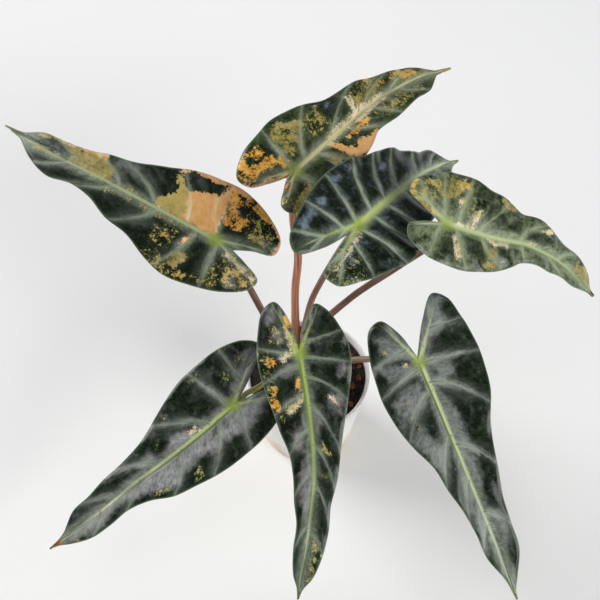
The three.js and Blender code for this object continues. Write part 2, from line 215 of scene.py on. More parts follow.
# The first face stays as the underside, while its copy goes up over the lip to the inner floor
for (radius, height), (next_radius, next_height) in zip(POT_PROFILE, POT_PROFILE[1:]):
    rise = (next_height - height) * MM
    grow = next_radius / radius
    bpy.ops.mesh.extrude_region_move(TRANSFORM_OT_translate={"value": (0, 0, rise)})
    bpy.ops.transform.resize(value=(grow, grow, 1), center_override=(0, 0, next_height * MM))
bpy.ops.mesh.select_all(action="SELECT")
bpy.ops.mesh.normals_make_consistent(inside=False)
bpy.ops.object.mode_set(mode="OBJECT")

drills = []
for i in range(HOLE_COUNT):
    bearing = 2 * math.pi * (i + 0.5) / HOLE_COUNT
    bpy.ops.mesh.primitive_cylinder_add(
        vertices=HOLE_SIDES,
        radius=HOLE_RADIUS * MM,
        depth=DRILL_LENGTH * MM,
        location=(HOLE_CIRCLE * MM * math.cos(bearing), HOLE_CIRCLE * MM * math.sin(bearing), 0),
    )
    drills.append(bpy.context.object)
for drill in drills:
    apply_modifier(pot, "BOOLEAN", object=drill, operation="DIFFERENCE", solver="EXACT")
    bpy.data.objects.remove(drill)

# Polypropylene: milky white, a little light passing into it, satin from the mould, with faint
# flow ripples down the wall and a blotchy warm brown tint that deepens towards the base.
plastic, node = new_material("moulded_white_polypropylene")
place = node("TexCoord", out="Object")
height = node("SeparateXYZ", place, out="Z")
tint_noise = node("TexNoise", Vector=place, Scale=55.0, Detail=5.0, Roughness=0.65)
# Browner towards the base, broken up by noise
low = node("MapRange", height, 0.034, 0.0, -0.25, 0.34)
brown_tint_amount = node("Math", tint_noise, low, operation="ADD")
base_brown_tint = node("ValToRGB", brown_tint_amount, stops=[(0.45, "#f1f0ee"), (0.62, "#ece4da"), (0.85, "#d9c5b0")])
stretch = node("Mapping", Vector=place, Scale=(1, 1, 0.15))
ripple = node("TexNoise", Vector=stretch, Scale=160.0, Detail=2.0)
bump = node("Bump", Height=ripple, Distance=0.0004, Strength=0.25)
surface = node(
    "BsdfPrincipled", Base_Color=base_brown_tint, Roughness=0.38, IOR=1.49,
    Subsurface_Weight=0.12, Subsurface_Scale=0.003, Normal=bump,
)
node("OutputMaterial", surface)
pot.data.materials.append(plastic)
finish_piece(pot, "nursery_pot", "pot", "pot", smooth_to=28)


# Potting mix: dark moist peat and bark fines pressed level 2 mm under the lip, its surface
# broken by crumbs. It is one closed lump down to the pot's base, as poured and settled.
SOIL_RADIUS = 41.2
SOIL_LEVEL = 77.6
SOIL_SIDE = [(60.0, 40.2), (2.0, 33.3)]  # height and radius down the pot's wall
SOIL_CELLS = 120
SOIL_WAVE = 0.55
SOIL_SINK = 0.8
SINK_START = 34
GRAIN_HEIGHT = 0.45
CLOD_HEIGHT = 0.5
CROWN_AT = (-7.0, 13.0)
CROWN_FLAT = 12.0
CROWN_BLEND = 10.0


def smooth_step(low_end, high_end, value):
    """0 below the low end, 1 above the high end, and an even S between them."""
    x = np.clip((value - low_end) / (high_end - low_end), 0, 1)
    return x * x * (3 - 2 * x)


def soil_height(x, y):
    """Height of the mix in mm at a place in mm, without its crumbs."""
    # Slow waves 9 to 23 mm long, which leave a level place round the crown
    waves = math.sin(0.31 * x + 1) * math.cos(0.27 * y) + 0.5 * math.sin(0.5 * (x + y))
    away = math.hypot(x - CROWN_AT[0], y - CROWN_AT[1])
    rough = float(smooth_step(CROWN_FLAT, CROWN_FLAT + CROWN_BLEND, away))
    sink = float(smooth_step(SINK_START, SOIL_RADIUS, math.hypot(x, y)))
    return SOIL_LEVEL + SOIL_WAVE * rough * waves - SOIL_SINK * sink


bpy.ops.object.select_all(action="DESELECT")
bpy.ops.mesh.primitive_grid_add(x_subdivisions=SOIL_CELLS, y_subdivisions=SOIL_CELLS, size=2)
soil = bpy.context.object
for vertex in soil.data.vertices:
    u, v = vertex.co.x, vertex.co.y
    # The square grid drawn in to a disc, so its cells stay even
    x = SOIL_RADIUS * u * math.sqrt(1 - v * v / 2)
    y = SOIL_RADIUS * v * math.sqrt(1 - u * u / 2)
    grain = noise.fractal(Vector((x, y, 3.0)) * 0.55, 0.7, 2.1, 4)
    clod = noise.noise(Vector((x, y, 9.0)) * 0.16)
    level = soil_height(x, y) + GRAIN_HEIGHT * grain + CLOD_HEIGHT * clod
    vertex.co = Vector((x, y, level)) * MM
edit(soil)
bpy.ops.mesh.select_all(action="DESELECT")
bpy.ops.mesh.select_mode(type="EDGE")
bpy.ops.mesh.select_non_manifold()
for height, radius in SOIL_SIDE:
    bpy.ops.mesh.extrude_edges_move(TRANSFORM_OT_translate={"value": (0, 0, -0.001)})
    bpy.ops.object.mode_set(mode="OBJECT")
    for vertex in soil.data.vertices:
        if vertex.select:
            outward = Vector((vertex.co.x, vertex.co.y, 0)).normalized() * radius * MM
            vertex.co = (outward.x, outward.y, height * MM)
    bpy.ops.object.mode_set(mode="EDIT")
bpy.ops.mesh.edge_face_add()
bpy.ops.mesh.select_all(action="SELECT")
bpy.ops.mesh.normals_make_consistent(inside=False)
bpy.ops.mesh.select_mode(type="VERT")
bpy.ops.object.mode_set(mode="OBJECT")

# Moist peat: nearly black, with rust-brown fibres about a millimetre across. It is dull, but
# the wet crumbs keep a faint glint.
peat, node = new_material("moist_peat_and_bark_fines")
place = node("TexCoord", out="Object")
crumb = node("TexVoronoi", Vector=place, Scale=620.0)
crumb_tint = node("TexVoronoi", Vector=place, Scale=620.0, out="Color")
blotch = node("TexNoise", Vector=place, Scale=260.0, Detail=6.0, Roughness=0.7)
soil_browns = [(0.34, "#080403"), (0.5, "#150a07"), (0.6, "#30150f"), (0.72, "#6e3220")]
earth = node("ValToRGB", blotch, stops=soil_browns)
earth = node("Mix", 0.55, earth, crumb_tint, data_type="RGBA", blend_type="MULTIPLY")
height = node("Math", crumb, blotch, operation="ADD")
bump = node("Bump", Height=height, Distance=0.0009, Strength=0.9)
node("OutputMaterial", node("BsdfPrincipled", Base_Color=earth, Roughness=0.82, Normal=bump))
soil.data.materials.append(peat)
finish_piece(soil, "potting_mix", "soil", "soil", smooth_to=60)


# Crumbs on the mix: hundreds of small chips of bark, peat and grit, half sunk, with the nine
# larger bark chips and three pale perlite grains that lie on top of them.
CRUMB_COUNT = 420
CRUMB_LENGTHS = (1.2, 1.6, 2.2, 3.0, 4.2)
CRUMB_ROUGHNESS = 0.5
CRUMB_LIFT = 0.35  # share of its height
CHIP_ROUGHNESS = 0.42
CHIP_HEIGHT = 1.05  # share of its node's height
CHIP_SINK = 0.4
PEAT_SHARE = 0.62
CROWN_CLEAR = 13.0
RIM_CLEAR = 38.5
BLOCKINESS = 0.7
scatter = random.Random(7)

# Bark: split along its grain into thin plates, red-brown inside and grey-brown outside.
bark, node = new_material("split_pine_bark")
along_grain = node("Mapping", Vector=node("TexCoord", out="Object"), Scale=(1, 1, 3.5))
plates = node("TexNoise", Vector=along_grain, Scale=420.0, Detail=5.0)
bark_browns = [(0.3, "#1c0a07"), (0.48, "#4a1f13"), (0.6, "#7d3d22"), (0.75, "#ac6a42")]
rind = node("ValToRGB", plates, stops=bark_browns)
bump = node("Bump", Height=plates, Distance=0.0008, Strength=0.8)
node("OutputMaterial", node("BsdfPrincipled", Base_Color=rind, Roughness=0.8, Normal=bump))

# Perlite: puffed volcanic glass, chalky and pitted, stained by the peat.
perlite, node = new_material("stained_perlite")
pits = node("TexVoronoi", Vector=node("TexCoord", out="Object"), Scale=1500.0)
stained = node("ValToRGB", pits, stops=[(0.1, "#8a7361"), (0.4, "#d6cabb"), (0.8, "#ece6dc")])
bump = node("Bump", Height=pits, Distance=0.0004, Strength=0.7)
node("OutputMaterial", node("BsdfPrincipled", Base_Color=stained, Roughness=0.9, Normal=bump))


def lump(size, turn, subdivisions, roughness, seed):
    """A rough lump, with its size in mm along x, y and z before it is turned."""
    bpy.ops.object.select_all(action="DESELECT")
    bpy.ops.mesh.primitive_ico_sphere_add(subdivisions=subdivisions, radius=1)
    obj = bpy.context.object
    swing = Matrix.Rotation(turn, 3, "Z")
    shift = Vector((seed * 3.1, seed * 1.7, seed))
    for vertex in obj.data.vertices:
        direction = vertex.co.normalized()
        blocky = Vector([math.copysign(abs(c) ** BLOCKINESS, c) for c in direction])
        swell = 1 + roughness * noise.noise(direction * 1.7 + shift)
        blocky = Vector([c * s / 2 for c, s in zip(blocky, size)]) * swell
        vertex.co = (swing @ blocky) * MM
    return obj


crumbs = []
for i in range(CRUMB_COUNT):
    reach = RIM_CLEAR * math.sqrt(scatter.random())
    bearing = scatter.uniform(0, 2 * math.pi)
    x, y = reach * math.cos(bearing), reach * math.sin(bearing)
    if math.hypot(x - CROWN_AT[0], y - CROWN_AT[1]) < CROWN_CLEAR:
        continue
    long_way = scatter.choice(CRUMB_LENGTHS)
    size = (long_way, long_way * scatter.uniform(0.3, 0.8), long_way * scatter.uniform(0.25, 0.5))
    crumb_piece = lump(size, scatter.uniform(0, math.pi), 1, CRUMB_ROUGHNESS, i)
    crumb_piece.data.materials.append(peat if scatter.random() < PEAT_SHARE else bark)
    middle = Vector((x, y, soil_height(x, y) + CRUMB_LIFT * size[2]))
    crumb_piece.data.transform(Matrix.Translation(middle * MM))
    crumbs.append(crumb_piece)
bpy.ops.object.select_all(action="DESELECT")
for crumb_piece in crumbs:
    crumb_piece.select_set(True)
bpy.context.view_layer.objects.active = crumbs[0]
bpy.ops.object.join()
finish_piece(crumbs[0], "mix_crumbs", "soil", smooth_to=30)

# Each larger chip and grain fills the box of its node, and is sunk a little deeper in the mix
LARGE_BITS = [("bark_chip", "bark", bark, 9), ("perlite", "perlite", perlite, 3)]
for kind, slot, material, count in LARGE_BITS:
    for i in range(count):
        chip_node = f"{kind}_{i + 1}"
        low_corner, high_corner = (Vector(corner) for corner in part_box(chip_node))
        middle = (low_corner + high_corner) / 2
        extent = (high_corner - low_corner) / MM
        size = (extent.x, extent.y, extent.z * CHIP_HEIGHT)
        chip = lump(size, 0, 3, CHIP_ROUGHNESS, i + 40)
        chip.data.transform(Matrix.Translation(middle - Vector((0, 0, CHIP_SINK * MM))))
        chip.data.materials.append(material)
        finish_piece(chip, f"{kind}_piece_{i + 1}", slot, chip_node, smooth_to=35)


# Blades: thick, quilted arrowheads, satin above, with sunken side veins, a raised rib under
# each main vein and a narrow rolled margin. Each grows as one sheet out to its drip tip.

# Shape: a blade hangs from its "midrib", given in mm from the stalk to the tip, and is rolled
# about it by "roll" degrees. "notch" is how far behind the stalk the lobes part, "sway" how far
# the midrib bends on the flat blade, and "sweep" how much the side veins curve to the tip. Each
# half has its lobe's outline (inner edge, end, outer edge twice) as places along and out from
# the midrib, half-widths at every tenth of the length, and its side veins: where each leaves
# the midrib (or, below 0, the lobe's own vein) and where it meets the outline, counted in
# outline points.
# Looks: "vein" is the colour of side veins and haze, "midrib_colours" those near the stalk and
# far out, "rib" the main veins' width, then the place beside the midrib in mm and the colour of
# the painted shade of its groove, "veil" and "pale" the colour and strength of a film over the
# green, "haze" and "halo" the strength and reach of the haze beside the veins, then the colour
# and strength of the painted sheen, and "tip" the colour and length of the dry tip.
LEAVES = {
    "left": {
        "midrib": [
            (-59, 24, 216), (-93, 40, 230), (-129, 59, 238), (-165, 80, 237), (-200, 104.5, 231.5),
        ],
        "roll": -25, "notch": 13, "sway": 3.5, "sweep": 1.8,
        "left": {
            "lobe": [(-23.7, 2.8), (-36.5, 8.3), (-34.3, 16.4), (-20, 26.6)],
            "widths": (33.5, 36.5, 33, 26.5, 24, 17.5, 15, 17, 12, 3),
            "veins": [(-2.6, 4.7), (12.4, 6.57), (40.2, 8.88), (70, 10.77), (107.2, 12.87)],
        },
        "right": {
            "lobe": [(-23.7, 5.7), (-37, 11), (-36.1, 20.6), (-22, 30.2)],
            "widths": (36, 34, 30, 22.5, 16, 12.5, 9, 8, 7.5, 1.5),
            "veins": [(1.7, 5.52), (21.5, 7.37), (45.5, 9.5), (71.6, 10.6), (101.9, 12.33)],
        },
        "vein": "#8b9784", "midrib_colours": ("#b3bb84", "#9aa07c"), "rib": 0.8,
        "groove_shade": None, "veil": "#29312a", "pale": 0.3, "haze": 1.0, "halo": 0.85,
        "painted_sheen_look": ("#8f8f92", 0.55), "tip": ("#8b9a66", 12),
    },
    "back": {
        "midrib": [(-9, 60, 240), (18, 89, 241), (43, 120, 236), (71, 148, 227), (101, 171, 215)],
        "roll": 15, "notch": 7, "sway": 0, "sweep": 1.6,
        "left": {
            "lobe": [(-18.2, 4.5), (-29, 11.3), (-30.7, 20.5), (-17, 30.3)],
            "widths": (33.5, 35.3, 31.5, 23.5, 20.5, 18.5, 14.5, 12, 8, 1.5),
            "veins": [(-0.9, 5.27), (11.2, 7.3), (37.7, 9.72), (71.4, 11.48), (97.9, 12.9)],
        },
        "right": {
            "lobe": [(-15.1, 4.7), (-23.9, 11.5), (-22.9, 18.9), (-13, 24.5)],
            "widths": (28, 27, 25, 22, 17, 18, 16.5, 14, 12, 2),
            "veins": [(-1.1, 5.4), (20.5, 7.5), (49, 9.3), (75.9, 10.78), (105.2, 12.97)],
        },
        "vein": "#97a083", "midrib_colours": ("#e2dca0", "#c4be9c"), "rib": 1.0,
        "groove_shade": None, "veil": "#44532f", "pale": 0.85, "haze": 1.0, "halo": 0.9,
        "painted_sheen_look": ("#8f8f92", 0.5), "tip": ("#c3ab86", 11),
    },
    "centre": {
        "midrib": [(30, 10, 252), (50, 39, 238), (68, 67, 221), (86, 93, 201), (106, 116, 180)],
        "roll": 20, "notch": 13, "sway": 0.6, "sweep": 2.1,
        "left": {
            "lobe": [(-32.9, 3.3), (-49.5, 11.5), (-46.5, 20.5), (-24, 30.4)],
            "widths": (36, 37.5, 37, 34.5, 30, 28, 22, 15, 14, 3),
            "veins": [
                (-30.5, 3.27), (-13.3, 4.15), (-1.7, 5.7), (16.9, 7.77), (34.5, 9.0), (54.4, 10.38),
                (85.2, 11.6), (107.3, 13.32),
            ],
        },
        "right": {
            "lobe": [(-30.9, 3.3), (-46.8, 8.5), (-44, 19.5), (-24, 28.5)],
            "widths": (35, 37, 33, 29, 27, 25, 22, 17, 11, 3.5),
            "veins": [
                (-27.1, 2.93), (-14.9, 4.07), (-2.7, 5.58), (15, 6.93), (32.3, 8.1), (54.8, 9.73),
                (85.2, 11.55), (112, 13.3),
            ],
        },
        "vein": "#9dab97", "midrib_colours": ("#c0cf78", "#c6d0ab"), "rib": 1.6,
        "groove_shade": None, "veil": "#15181c", "pale": 0.05, "haze": 1.05, "halo": 0.62,
        "painted_sheen_look": ("#8fa2b0", 0.85), "tip": ("#74846a", 8),
    },
    "right": {
        "midrib": [(83, 17, 243), (114, 17, 227), (144, 23, 207), (170, 23, 183), (193, 19, 155)],
        "roll": 20, "notch": 5, "sway": 0.5, "sweep": 1.5,
        "left": {
            "lobe": [(-16.9, 6.5), (-27.3, 14), (-24.5, 22.3), (-12, 29)],
            "widths": (33.5, 34, 31, 28.5, 20, 20, 15.5, 13, 12.5, 8),
            "veins": [
                (-15.1, 3.08), (-1.8, 4.45), (8.6, 5.98), (24.1, 8.43), (57.2, 10.5), (94.9, 12.7),
            ],
        },
        "right": {
            "lobe": [(-16, 2.4), (-25, 6.5), (-24.6, 14.8), (-13, 22.3)],
            "widths": (26, 26, 23.5, 18.5, 12.5, 11, 11, 8.5, 8.5, 4),
            "veins": [(-4.2, 4.28), (7.5, 6.28), (25.9, 7.87), (59, 9.28), (85.9, 12.03)],
        },
        "vein": "#98a584", "midrib_colours": ("#b5c592", "#9fad80"), "rib": 1.1,
        "groove_shade": None, "veil": "#727e60", "pale": 1.05, "haze": 1.1, "halo": 1.0,
        "painted_sheen_look": ("#8f8f92", 0.5), "tip": ("#5f3a26", 8),
    },
    "front_left": {
        "midrib": [
            (-49, -56, 143), (-80, -78, 130), (-113, -97, 114), (-143, -114, 94), (-174, -129, 72),
        ],
        "roll": -20, "notch": 4, "sway": 0.8, "sweep": 1.6,
        "left": {
            "lobe": [(-25, 6.9), (-32, 13), (-27.2, 20.6), (-16, 26.2)],
            "widths": (29.5, 30, 29, 26, 23, 16, 12, 12, 11, 5.5),
            "veins": [(-2.6, 5.57), (14.2, 7.35), (44.3, 8.98), (78.5, 11.13), (113.9, 12.95)],
        },
        "right": {
            "lobe": [(-24, 9.3), (-38, 19.5), (-32, 28.5), (-17, 34.6)],
            "widths": (35.5, 35, 30.5, 25, 18, 15, 14, 12, 11, 3),
            "veins": [(-16.2, 4.15), (2.4, 5.65), (19.9, 8.25), (63.8, 10.4), (99.2, 12.55)],
        },
        "vein": "#9aa398", "midrib_colours": ("#c2cc80", "#d4dcb8"), "rib": 0.95,
        "groove_shade": (1.5, "#4a6420"), "veil": "#202b1f", "pale": 0.15, "haze": 0.85, "halo": 1.0,
        "painted_sheen_look": ("#a9a9ac", 0.85), "tip": ("#a8602a", 14),
    },
    "front": {
        "midrib": [(-6, -38, 181), (0, -73, 164), (3, -106, 144), (-1, -139, 123), (-7, -171, 100)],
        "roll": 0, "notch": 3, "sway": 0.4, "sweep": 1.7,
        "left": {
            "lobe": [(-18, 6), (-29.2, 14.3), (-24, 21.5), (-13, 27.5)],
            "widths": (31.5, 30.5, 26, 21.5, 17.5, 15, 12, 12.5, 11, 7),
            "veins": [
                (-6.7, 4.27), (3.2, 5.72), (15.8, 7.13), (33.5, 9.05), (58.4, 10.42), (83.6, 11.77),
                (113.2, 12.97),
            ],
        },
        "right": {
            "lobe": [(-24.4, 4.5), (-34.3, 11.1), (-30, 19), (-15, 24.5)],
            "widths": (27, 26, 23, 19.5, 15, 13, 11.5, 8, 8, 5.5),
            "veins": [
                (1.6, 4.6), (8.3, 6.02), (26.8, 7.37), (48.9, 9.03), (77.3, 10.83), (110.4, 12.97),
            ],
        },
        "vein": "#8f9b8c", "midrib_colours": ("#b4ca66", "#b2bd92"), "rib": 1.05,
        "groove_shade": (-1.1, "#5d7a2a"), "veil": "#1c281b", "pale": 0.12, "haze": 0.75, "halo": 0.85,
        "painted_sheen_look": ("#a09b9c", 0.75), "tip": ("#68785a", 7),
    },
    "front_right": {
        "midrib": [
            (73, -28, 150), (89, -65, 137), (105, -100, 120), (121, -133, 99), (136, -164, 75),
        ],
        "roll": 10, "notch": 4, "sway": -0.3, "sweep": 1.6,
        "left": {
            "lobe": [(-25, 12.8), (-39.9, 26.5), (-33.4, 34.8), (-18, 37.8)],
            "widths": (40, 39, 36, 28, 23, 19, 15.5, 14, 13, 6),
            "veins": [(-23.2, 4.08), (1.3, 5.43), (14.4, 7.5), (58.4, 9.7), (104.9, 12.07)],
        },
        "right": {
            "lobe": [(-23.6, 5.4), (-35.2, 13), (-32, 22.7), (-15, 29.5)],
            "widths": (32, 33, 31, 26, 19, 16, 12, 10, 9, 3),
            "veins": [
                (-11.7, 4.55), (4.7, 5.82), (20.7, 7.77), (52, 9.9), (82.9, 11.48), (114.2, 12.73),
            ],
        },
        "vein": "#a3aca1", "midrib_colours": ("#d8e2a6", "#bccaaa"), "rib": 1.2,
        "groove_shade": (-1.2, "#52663a"), "veil": "#2a3828", "pale": 0.3, "haze": 1.0, "halo": 1.0,
        "painted_sheen_look": ("#a3a9a6", 0.66), "tip": ("#b4b896", 9),
    },
}

# Sizes in mm of the form that all blades share: each half rises from the midrib and levels
# out, the lobes droop behind the stalk, and the skin is thickest along the ribs
FOLD = math.tan(math.radians(12))
FOLD_REACH = 34.0
LOBE_DROOP = 0.0035
BLADE_SKIN = 3.0
SKIN_SHARE = 0.2  # thickness between the ribs, as a share of the whole
TIP_RUN = 0.6

# The blade's grid: its columns and rows, the steps of its curves, and the outline points at
# which the lobe ends and the tip stands
LOBE_COLUMNS = 26
BLADE_COLUMNS = 130
ROWS = 32
SPAN_STEPS = 60
MIDRIB_STEPS = 240
LOBE_POINTS = 2
LAST_POINT = 16
LOBE_VEIN = (0.8, 0.95)  # where the lobe's vein stops, as shares of the lobe's end
FAR = 99.0  # out of reach of any vein, margin or outline

# Half-width in mm and strength of a main vein: at the end of a lobe or at the tip, and how
# much more there is at the stalk
LOBE_RIB = (0.25, 1.0)
LOBE_RIB_STRENGTH = (0.15, 0.75)
BLADE_RIB = (0.4, 1.2)

# Relief in mm: the pillow between two side veins and how it grows with their spacing, the
# valleys over main and side veins, the margin's wave and turned edge, and slow lumps
QUILT = 2.2
QUILT_SLOPE = 0.09
MAIN_VALLEY = 0.7
SIDE_VALLEY = 0.35
MARGIN_WAVE = 1.1
MARGIN_TURN = 0.7
MARGIN_WIDTH = 2.0
LUMP = 0.16
LUMP_COUNT = 6
TIP_CALM = 14.0

# Raised veins under the blade, as shares of the skin's thickness, and how far before the tip
# in mm the midrib starts to fade
RIB_RAISE = 0.8
SIDE_VEIN_RAISE = 0.18
RIB_FADE = 22.0


def through(points, steps):
    """The smooth centripetal curve through the points, with this many steps to each span."""
    points = np.array(points, float)
    run = np.vstack([2 * points[0] - points[1], points, 2 * points[-1] - points[-2]])
    u = np.linspace(0, 1, steps, endpoint=False)[:, None]
    spans = []
    for before, start, end, after in zip(run, run[1:], run[2:], run[3:]):
        a = np.linalg.norm(start - before) ** 0.5
        b = np.linalg.norm(end - start) ** 0.5
        c = np.linalg.norm(after - end) ** 0.5
        leave = ((start - before) / a - (end - before) / (a + b) + (end - start) / b) * b
        arrive = ((end - start) / b - (after - start) / (b + c) + (after - end) / c) * b
        bend = 3 * (end - start) - 2 * leave - arrive
        spans.append(start + leave * u + bend * u**2 + (2 * (start - end) + leave + arrive) * u**3)
    return np.vstack([*spans, points[-1:]])


def unit(vectors):
    """Each vector, one long."""
    return vectors / np.linalg.norm(vectors, axis=-1, keepdims=True)


class Blade:
    """A blade's midrib and the directions along it, across it and out of its upper face."""

    def __init__(self, leaf):
        self.run = through(leaf["midrib"], MIDRIB_STEPS)
        steps = np.linalg.norm(np.diff(self.run, axis=0), axis=1)
        self.reach = np.concatenate([[0], np.cumsum(steps)])
        self.length = self.reach[-1]
        self.ways = unit(np.gradient(self.run, self.reach, axis=0))
        heading = (self.run[-1] - self.run[0]) * (1, 1, 0)
        self.level = unit(np.array([-heading[1], heading[0], 0]))
        self.roll = math.radians(leaf["roll"])

    def directions(self, distance):
        """The point at each distance along the midrib and its three directions there."""
        on = np.clip(distance, 0, self.length)
        point = np.stack([np.interp(on, self.reach, self.run[:, k]) for k in range(3)], -1)
        along = unit(np.stack([np.interp(on, self.reach, self.ways[:, k]) for k in range(3)], -1))
        point = point + np.minimum(distance, 0)[..., None] * along
        flat = unit(self.level - np.sum(self.level * along, -1, keepdims=True) * along)
        upright = np.cross(along, flat)
        across = math.cos(self.roll) * flat + math.sin(self.roll) * upright
        return point, along, across, np.cross(along, across)

    def place(self, distance, offset, rise):
        """The place in space of points of the flat blade that rise out of its face."""
        point, _, across, outward = self.directions(distance)
        aside = np.abs(offset)
        lift = FOLD * aside * (1 - aside / FOLD_REACH) + rise
        lift = lift - LOBE_DROOP * np.minimum(distance, 0) ** 2
        return point + offset[..., None] * across + lift[..., None] * outward


def half_columns(half, notch, length):
    """Columns of one half, from the notch round the lobe to the tip: the foot of each on a
    main vein, its end on the outline, its place along the main veins and its side-vein count."""
    widths = half["widths"]
    points = [
        (-notch, 0),
        *half["lobe"],
        *((length * i / 10, width) for i, width in enumerate(widths)),
        (0.95 * length, 0.3 * widths[-1] + 0.3),  # rounds the drip tip
        (length, 0.0),
    ]
    outline = through(points, SPAN_STEPS)
    counts = np.arange(len(outline)) / SPAN_STEPS
    lobe_vein = np.array(half["lobe"][1]) * LOBE_VEIN
    lobe_length = np.linalg.norm(lobe_vein)
    end = length - TIP_RUN
    feet = np.array([-lobe_length, *(foot for foot, _ in half["veins"]), end])
    ends = np.array([LOBE_POINTS, *(edge for _, edge in half["veins"]), LAST_POINT])
    vein_counts = np.array([0.5, *range(1, len(half["veins"]) + 1), len(half["veins"]) + 0.5])

    inner = np.linspace(0, 1, LOBE_COLUMNS + 1)
    main = np.linspace(0, end, BLADE_COLUMNS + 1)[1:]
    along = np.concatenate([-lobe_length * (1 - inner[1:]), main])
    at_edge = np.concatenate([LOBE_POINTS * inner, np.interp(along, feet, ends)])
    count = np.concatenate([2 * inner - 1.5, np.interp(along, feet, vein_counts)])
    spine = np.concatenate([-lobe_length * inner, along])
    foot = np.zeros((len(spine), 2))
    on_lobe = spine < 0
    foot[on_lobe] = lobe_vein * (-spine[on_lobe, None] / lobe_length)
    foot[~on_lobe, 0] = spine[~on_lobe]
    edge = np.stack([np.interp(at_edge, counts, outline[:, k]) for k in (0, 1)], -1)
    return foot, edge, spine, count, lobe_vein / lobe_length, lobe_length, outline


def blade_fields(leaf, blade):
    """Every grid point's place on the flat blade and its distances to veins and margin."""
    v = np.linspace(0, 1, ROWS + 1)
    parts = []
    for name, side in (("left", 1), ("right", -1)):
        foot, edge, spine, count, lobe_way, lobe_length, outline = half_columns(
            leaf[name], leaf["notch"], blade.length
        )
        # Side veins leave square to the midrib and sweep round towards the tip
        sweep = 1 + (leaf["sweep"] - 1) * smooth_step(-8, 14, spine)[:, None]
        s = foot[:, :1] + (edge[:, :1] - foot[:, :1]) * v[None, :] ** sweep
        t = foot[:, 1:] + (edge[:, 1:] - foot[:, 1:]) * v[None, :]
        run_s, run_t = np.gradient(s, axis=1), np.gradient(t, axis=1)
        next_s, next_t = np.gradient(s, axis=0), np.gradient(t, axis=0)
        spread = np.abs(next_s * run_t - next_t * run_s) / np.maximum(np.hypot(run_s, run_t), 1e-6)
        bay = spread / np.maximum(np.abs(np.gradient(count)), 1e-6)[:, None]
        rib_line = leaf["sway"] * np.sin(math.pi * np.clip(s / blade.length, 0, 1))
        away = np.where(
            (spine < 0)[:, None],
            np.abs((s - foot[:, :1]) * lobe_way[1] - (t - foot[:, 1:]) * lobe_way[0]),
            np.abs(side * t - rib_line),
        )
        on_lobe = np.clip(1 + spine / lobe_length, 0, 1)
        on_blade = np.clip(1 - spine / blade.length, 0, 1)
        wide = np.where(
            spine < 0,
            LOBE_RIB[0] + LOBE_RIB[1] * on_lobe,
            BLADE_RIB[0] + BLADE_RIB[1] * on_blade**0.8,
        )
        lobe_strength = LOBE_RIB_STRENGTH[0] + LOBE_RIB_STRENGTH[1] * on_lobe
        border = np.full(s.shape, FAR)
        for k in range(0, len(outline), 2):
            border = np.minimum(border, np.hypot(s - outline[k, 0], t - outline[k, 1]))
        middle = ROWS // 2
        step = np.hypot(np.diff(s[:, middle]), np.diff(t[:, middle]))
        fields = {
            "s": s,
            "t": side * t,
            "bay_width": bay,
            "rib_distance": away,
            "rib_offset": np.where((spine < 0)[:, None], FAR, side * t - rib_line),
            "margin_distance": border,
            "attach_distance": np.hypot(s, t),
            "tip_distance": np.hypot(blade.length - s, t),
            "along_row": np.hypot(s - foot[:, :1], t - foot[:, 1:]),
            "row": np.broadcast_to(v, s.shape),
            "side": np.full(s.shape, float(side)),
        }
        columns = {
            "vein_count": count,
            "spine_distance": spine,
            "rib_width": wide,
            "rib_strength": np.where(spine < 0, lobe_strength, 1.0),
            "across_rows": np.concatenate([[0], np.cumsum(step)]),
        }
        for key, column in columns.items():
            fields[key] = np.broadcast_to(column[:, None], s.shape)
        parts.append(fields if side > 0 else {key: field[::-1] for key, field in fields.items()})
    left, right = parts
    return {key: np.vstack([left[key], right[key][1:]]) for key in left}


def side_vein_distance(f):
    """How far in mm each point lies from the nearest side vein."""
    return np.minimum(f["bay_width"], 40) * (0.5 - np.abs(f["vein_count"] % 1 - 0.5))


def relief(f, seed):
    """How far the upper face stands out of the plain blade: quilted between the side veins,
    sunk along the main veins, wavy and turned down at the margin."""
    rng = np.random.default_rng(seed)
    count, row, bay, wide = f["vein_count"], f["row"], f["bay_width"], f["rib_width"]
    number = np.floor(count).astype(int) + 3 + np.where(f["side"] > 0, 0, 16)
    vigour = rng.uniform(0.7, 1.3, 40)[number]
    phase = count * math.pi
    pillow = np.abs(np.sin(phase)) ** 0.6
    height = np.minimum(QUILT, QUILT_SLOPE * bay) * vigour
    middle = smooth_step(0.02, 0.3, row) * (1 - 0.75 * smooth_step(0.6, 1.0, row))
    quilt = height * (pillow - 0.35) * middle
    rib = f["rib_distance"] / (1.6 * wide)
    valley = -MAIN_VALLEY * np.exp(-(rib**2)) * f["rib_strength"] * np.minimum(1, wide)
    vein = -SIDE_VALLEY * np.exp(-((side_vein_distance(f) / 0.8) ** 2))
    wave = MARGIN_WAVE * row**2 * np.sin(2 * phase + 1.2 * f["side"]) * np.minimum(1, bay / 12)
    edge = 1 - smooth_step(0, MARGIN_WIDTH, f["margin_distance"])
    turned = -MARGIN_TURN * edge * smooth_step(0.3, 0.7, row)
    tip = smooth_step(0, TIP_CALM, f["margin_distance"] + 0.4 * f["rib_distance"])
    lumps = np.zeros(f["s"].shape)
    for _ in range(LUMP_COUNT):
        kx, ky, shift = rng.uniform(-0.2, 0.2), rng.uniform(-0.3, 0.3), rng.uniform(0, 6.28)
        lumps += LUMP * np.sin(kx * f["s"] + ky * f["t"] + shift)
    return quilt + valley + vein * middle + (wave + lumps) * np.minimum(tip + 0.3, 1) + turned


